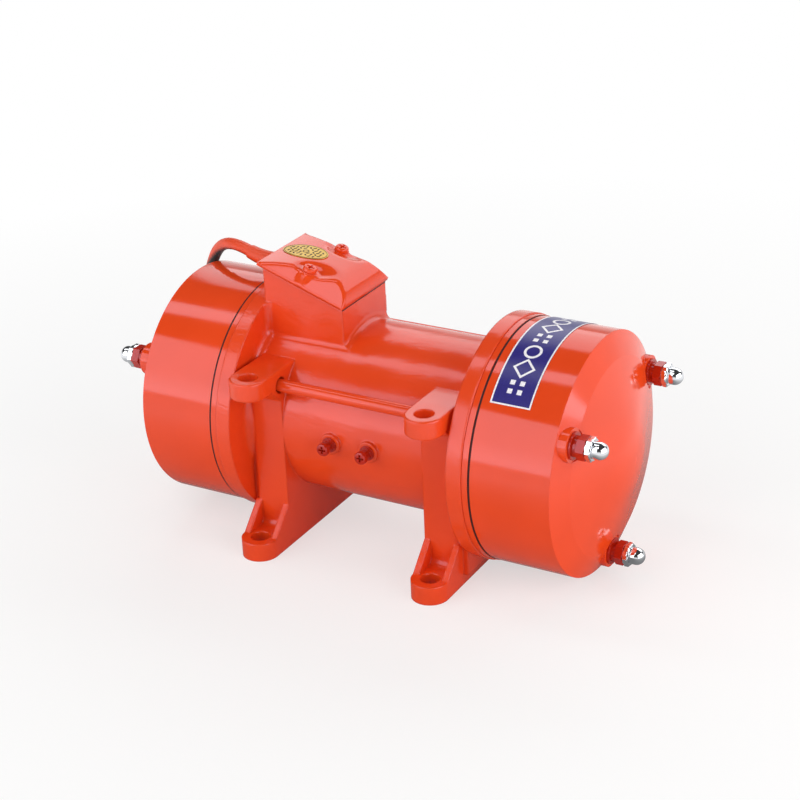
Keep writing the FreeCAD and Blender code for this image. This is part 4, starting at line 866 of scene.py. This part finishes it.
class MOTOR_OT_label(bpy.types.Operator):
    """Wrap the blue label with its plain white marks over the right cover"""
    bl_idname = "motor.label"
    bl_label = "Wrapped label"

    def execute(self, context):
        film = NODES["label_band"].data.materials[0]
        # screen printing ink: an even satin white
        white = moulded("screen_printed_white", linear("F3EEF6"), 0.35)
        reach = math.radians(LABEL_SPAN / 2) * COVER_R
        bm = bmesh.new()
        flat_bar(bm, LABEL_X, (-reach, reach), 0.0, LABEL_THICK, LABEL_STEPS)
        sheet = piece_from("label_film", bm, film)
        bent(sheet.data, on_cover)
        smooth_sides(sheet.data, 30)
        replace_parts(sheet, "label_band")

        bm = bmesh.new()
        border_lines(bm, reach)
        border = piece_from("label_border", bm, white)
        bent(border.data, on_cover)
        smooth_sides(border.data, 30)

        middle = sum(LABEL_X) / 2
        for number, (name, draw) in enumerate(LABEL_MARKS.items()):
            bm = bmesh.new()
            draw(bm)
            places = [((middle, (i - (MARK_COUNT - 1) / 2) * MARK_PITCH, MARK_LIFT), (0, 0, 0))
                      for i in range(number, MARK_COUNT, len(LABEL_MARKS))]
            mesh = bent(repeated(name, bm, places, white), on_cover)
            housed(bpy.data.objects.new(name, mesh))
        return {"FINISHED"}


# ---- supply cable ------------------------------------------------------------
# From the box down behind the left cover to the coil, in millimetres.
ROUTE = [
    (-84.0, 4.0, 209.5),
    (-120.0, 4.0, 209.5),
    (-150.0, 12.0, 215.5),
    (-177.0, 26.0, 206.5),
    (-197.0, 38.0, 180.0),
    (-207.0, 43.0, 143.0),
    (-209.0, 53.0, 101.0),
    (-203.0, 71.0, 63.0),
    (-189.0, 93.0, 31.0),
    (-163.0, 114.0, 10.5),
    (-131.0, 127.25, 4.85),
    (-102.0, 127.25, 4.85),
]
COIL_MIDDLE = (-66.0, 184.0)
COIL_FLOOR = 5.25
# Each turn's radius and lift in cable diameters from the middle of the coil's lowest layer, and how
# it passes to the next one in the last two steps, where the cable crosses itself.
TURNS = [
    ((0.5, 0.0), (0.26, 0.0), (-0.21, 0.0)),
    ((-0.5, 0.0), (-0.63, 0.42), (-0.58, 0.95)),
    ((0.0, 0.87), (0.32, 1.01), (0.58, 1.01)),
]
COIL_LEAVES = (1.0, 0.9)        # the same two measures where the cable leaves the coil
TAIL = [(-42.0, 121.8, 12.4), (-18.0, 124.5, 6.5), (0.0, 128.2, 4.9), (18.0, 129.0, 4.85)]


def cable_points(sizes):
    """Control points of the whole cable in metres: route, coil and tail."""
    middle = Vector((*COIL_MIDDLE, COIL_FLOOR)) / 1000
    swell = 1 / math.cos(math.pi / sizes.steps)
    points = [Vector(p) / 1000 for p in ROUTE]

    def on_turn(step, out, lift):
        angle = math.radians(-90 + 360 * step / sizes.steps)
        radius = (sizes.turn + out * sizes.cable) * swell
        return middle + Vector((radius * math.cos(angle), radius * math.sin(angle),
                                lift * sizes.cable))

    for plain, first, second in TURNS:
        for step in range(sizes.steps - 2):
            points.append(on_turn(step, *plain))
        points.append(on_turn(sizes.steps - 2, *first))
        points.append(on_turn(sizes.steps - 1, *second))
    points.append(on_turn(0, *COIL_LEAVES))
    return points + [Vector(p) / 1000 for p in TAIL]


class MOTOR_OT_supply_cable(bpy.types.Operator):
    """Lay the supply cable from the terminal box to its coil"""
    bl_idname = "motor.supply_cable"
    bl_label = "Supply cable"

    def execute(self, context):
        sizes = context.scene.motor_sizes
        points = cable_points(sizes)
        curve = bpy.data.curves.new("supply_cord", "CURVE")
        curve.dimensions = "3D"
        spline = curve.splines.new("NURBS")
        spline.points.add(len(points) - 1)
        for made, place in zip(spline.points, points):
            made.co = (*place, 1.0)
        spline.order_u = 3
        spline.use_endpoint_u = True
        spline.resolution_u = 6
        curve.bevel_depth = sizes.cable / 2
        curve.bevel_resolution = 5
        curve.use_fill_caps = True
        curve.materials.append(NODES["cable_grommet"].data.materials[0])
        cord = bpy.data.objects.new("supply_cord", curve)
        context.collection.objects.link(cord)
        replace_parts(cord, "supply_cable", "cable_coil")
        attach(cord, "housing")
        return {"FINISHED"}


# ---- studio ------------------------------------------------------------------
CAMERA_PLACE = (0.7045, -1.1942, 0.7579)
CAMERA_TURN = (30.42, 25.05, -2.46)     # yaw, pitch and roll in degrees
CAMERA_LENS = 87.1
AIM = Vector((0, 0, 0.1))
# Soft panels: azimuth from +X, elevation, distance, width, height, and share of the panel glow.
# The gaps between them are what the enamel shows as deep orange bands.
PANELS = {
    "front_panel": (-122.0, 21.0, 1.6, 1.5, 1.25, 1.1),
    "overhead_strip": (-174.0, 62.4, 1.6, 0.3, 1.6, 1.4),
    "back_panel": (92.0, 37.0, 1.8, 2.6, 1.2, 0.9),
    "right_panel": (-8.0, 18.0, 1.5, 2.0, 1.0, 1.4),
    "lid_panel": (-93.0, 57.0, 1.5, 0.5, 0.5, 1.4),
}
FILL = 0.19                 # even light from all round
ROOM_GLOW = (0.85, 0.05)    # what gloss mirrors of the room, low down and overhead
FLOOR_REACH = 4.0
FLOOR_WHITE = 0.6           # share of plain white in the floor by the motor, for the eye
FLOOR_FADE = (0.3, 0.9)     # distances from the middle over which it grows to 1
SHADED_FLOOR_GLOW = 0.2            # what gloss mirrors of the floor by the motor: darker there, a painted shadow of the motor
FLOOR_RISE = (0.2, 0.5)     # distances from the middle over which it grows to 1


def camera_matrix():
    """Camera's place and turn: yaw from +Y, pitch down and roll."""
    yaw, pitch, roll = (math.radians(v) for v in CAMERA_TURN)
    ahead = Vector((-math.sin(yaw) * math.cos(pitch), math.cos(yaw) * math.cos(pitch),
                    -math.sin(pitch)))
    level = Vector((math.cos(yaw), math.sin(yaw), 0))
    above = level.cross(ahead)
    right = math.cos(roll) * level + math.sin(roll) * above
    up = -math.sin(roll) * level + math.cos(roll) * above
    turn = Matrix((right, up, -ahead)).transposed().to_4x4()
    return Matrix.Translation(CAMERA_PLACE) @ turn


def soft_panel(name, azimuth, elevation, distance, width, height, glow):
    """Area lamp of a given glow, in watts per square metre and steradian, that faces the motor."""
    lamp = bpy.data.lights.new(name, "AREA")
    lamp.shape = "RECTANGLE"
    lamp.size, lamp.size_y = width, height
    lamp.energy = glow * math.pi * width * height
    made = bpy.data.objects.new(name, lamp)
    bpy.context.collection.objects.link(made)
    turn, rise = math.radians(azimuth), math.radians(elevation)
    away = Vector((math.cos(rise) * math.cos(turn), math.cos(rise) * math.sin(turn),
                   math.sin(rise)))
    made.location = AIM + distance * away
    made.rotation_mode = "QUATERNION"
    made.rotation_quaternion = (-away).to_track_quat("-Z", "Y")
    made.visible_camera = False
    return made


def seen_directly(tree):
    """1 for rays from the eye, straight or through glass, and 1 for those mirrored by gloss."""
    path = add(tree, "ShaderNodeLightPath")
    seen = add(tree, "ShaderNodeMath", {
        0: path.outputs["Is Camera Ray"], 1: path.outputs["Is Transmission Ray"]},
        operation="MAXIMUM")
    return seen.outputs[0], path.outputs["Is Glossy Ray"]


def studio_world(tree):
    """White to the eye and low down in reflections, dark overhead, and a plain fill light."""
    seen, glossy = seen_directly(tree)
    up = add(tree, "ShaderNodeSeparateXYZ", {
        0: add(tree, "ShaderNodeTexCoord").outputs["Generated"]}).outputs["Z"]
    sweep = add(tree, "ShaderNodeMapRange", {
        "Value": up, "From Min": 0.05, "From Max": 0.3, "To Min": ROOM_GLOW[0],
        "To Max": ROOM_GLOW[1]})
    mirrored = add(tree, "ShaderNodeMix", {"Factor": glossy, 2: FILL, 3: sweep.outputs[0]})
    power = add(tree, "ShaderNodeMix", {"Factor": seen, 2: mirrored.outputs[0], 3: 1.0})
    return add(tree, "ShaderNodeBackground", {
        "Color": (1.0, 1.0, 1.0, 1.0), "Strength": power.outputs[0]})


def studio_floor(tree):
    """Matt pale floor that fades to white for the eye away from the motor and keeps its shadow."""
    place = own_place(tree)
    away = add(tree, "ShaderNodeVectorMath", {0: place}, operation="LENGTH").outputs["Value"]
    fade = add(tree, "ShaderNodeMapRange", {
        "Value": away, "From Min": FLOOR_FADE[0], "From Max": FLOOR_FADE[1],
        "To Min": FLOOR_WHITE, "To Max": 1.0})
    # gloss sees the floor dimmer by the motor: a painted shadow of the motor that fades out farther
    # away
    mirrored = add(tree, "ShaderNodeMapRange", {
        "Value": away, "From Min": FLOOR_RISE[0], "From Max": FLOOR_RISE[1],
        "To Min": SHADED_FLOOR_GLOW, "To Max": 1.0})
    seen, glossy = seen_directly(tree)
    to_eye = add(tree, "ShaderNodeMath", {0: seen, 1: fade.outputs[0]}, operation="MULTIPLY")
    share = add(tree, "ShaderNodeMath", {0: to_eye.outputs[0], 1: glossy}, operation="MAXIMUM")
    glow = add(tree, "ShaderNodeMix", {"Factor": glossy, 2: 1.0, 3: mirrored.outputs[0]})
    matt = add(tree, "ShaderNodeBsdfPrincipled", {
        "Base Color": (*linear("F5F5F4"), 1.0), "Roughness": 0.7})
    white = add(tree, "ShaderNodeEmission", {"Strength": glow.outputs[0]})
    return add(tree, "ShaderNodeMixShader", {
        0: share.outputs[0], 1: matt.outputs[0], 2: white.outputs[0]})


class MOTOR_OT_stage(bpy.types.Operator):
    """Set the pale floor, the soft panels and the camera"""
    bl_idname = "motor.stage"
    bl_label = "Stage"

    def execute(self, context):
        scene = context.scene
        mesh = bpy.data.meshes.new("pale_floor")
        reach = FLOOR_REACH
        mesh.from_pydata([(-reach, -reach, 0), (reach, -reach, 0), (reach, reach, 0),
                          (-reach, reach, 0)], [], [(0, 1, 2, 3)])
        # painted board: matt and nearly white, so that the motor's shadow shows on it
        mesh.materials.append(new_material("pale_studio_floor", studio_floor))
        floor = bpy.data.objects.new("pale_floor", mesh)
        scene.collection.objects.link(floor)

        world = bpy.data.worlds.new("studio_white")
        world.use_nodes = True
        world.node_tree.nodes.clear()
        light = studio_world(world.node_tree)
        add(world.node_tree, "ShaderNodeOutputWorld", {"Surface": light.outputs[0]})
        scene.world = world
        for name, (*setting, share) in PANELS.items():
            soft_panel(name, *setting, share * scene.motor_sizes.glow)

        lens = bpy.data.cameras.new("motor_view")
        lens.lens = CAMERA_LENS
        lens.sensor_width = 36.0
        camera = bpy.data.objects.new("motor_view", lens)
        scene.collection.objects.link(camera)
        camera.matrix_world = camera_matrix()
        scene.camera = camera
        scene.view_settings.view_transform = "Standard"
        return {"FINISHED"}


class MOTOR_PT_dresser(bpy.types.Panel):
    """Lists the motor's operators with their sizes and colours"""
    bl_label = "Vibration Motor"
    bl_idname = "MOTOR_PT_dresser"
    bl_space_type = "VIEW_3D"
    bl_region_type = "UI"
    bl_category = "Motor"

    def draw(self, context):
        column = self.layout.column()
        for group in (context.scene.motor_colours, context.scene.motor_sizes):
            for name in group.__annotations__:
                column.prop(group, name)
        for operator in OPERATORS:
            column.operator(operator.bl_idname)


OPERATORS = (MOTOR_OT_finishes, MOTOR_OT_dome_nuts, MOTOR_OT_lid, MOTOR_OT_screws, MOTOR_OT_seams,
             MOTOR_OT_badge, MOTOR_OT_label, MOTOR_OT_supply_cable, MOTOR_OT_stage)
CLASSES = (MotorColours, MotorSizes, *OPERATORS, MOTOR_PT_dresser)


def register():
    for kind in CLASSES:
        bpy.utils.register_class(kind)
    bpy.types.Scene.motor_colours = PointerProperty(type=MotorColours)
    bpy.types.Scene.motor_sizes = PointerProperty(type=MotorSizes)


def unregister():
    del bpy.types.Scene.motor_sizes
    del bpy.types.Scene.motor_colours
    for kind in reversed(CLASSES):
        bpy.utils.unregister_class(kind)


def main():
    register()
    bpy.ops.motor.finishes()
    bpy.ops.motor.dome_nuts()
    bpy.ops.motor.lid()
    bpy.ops.motor.screws()
    bpy.ops.motor.seams()
    bpy.ops.motor.badge()
    bpy.ops.motor.label()
    bpy.ops.motor.supply_cable()
    bpy.ops.motor.stage()


if __name__ == "__main__":
    main()
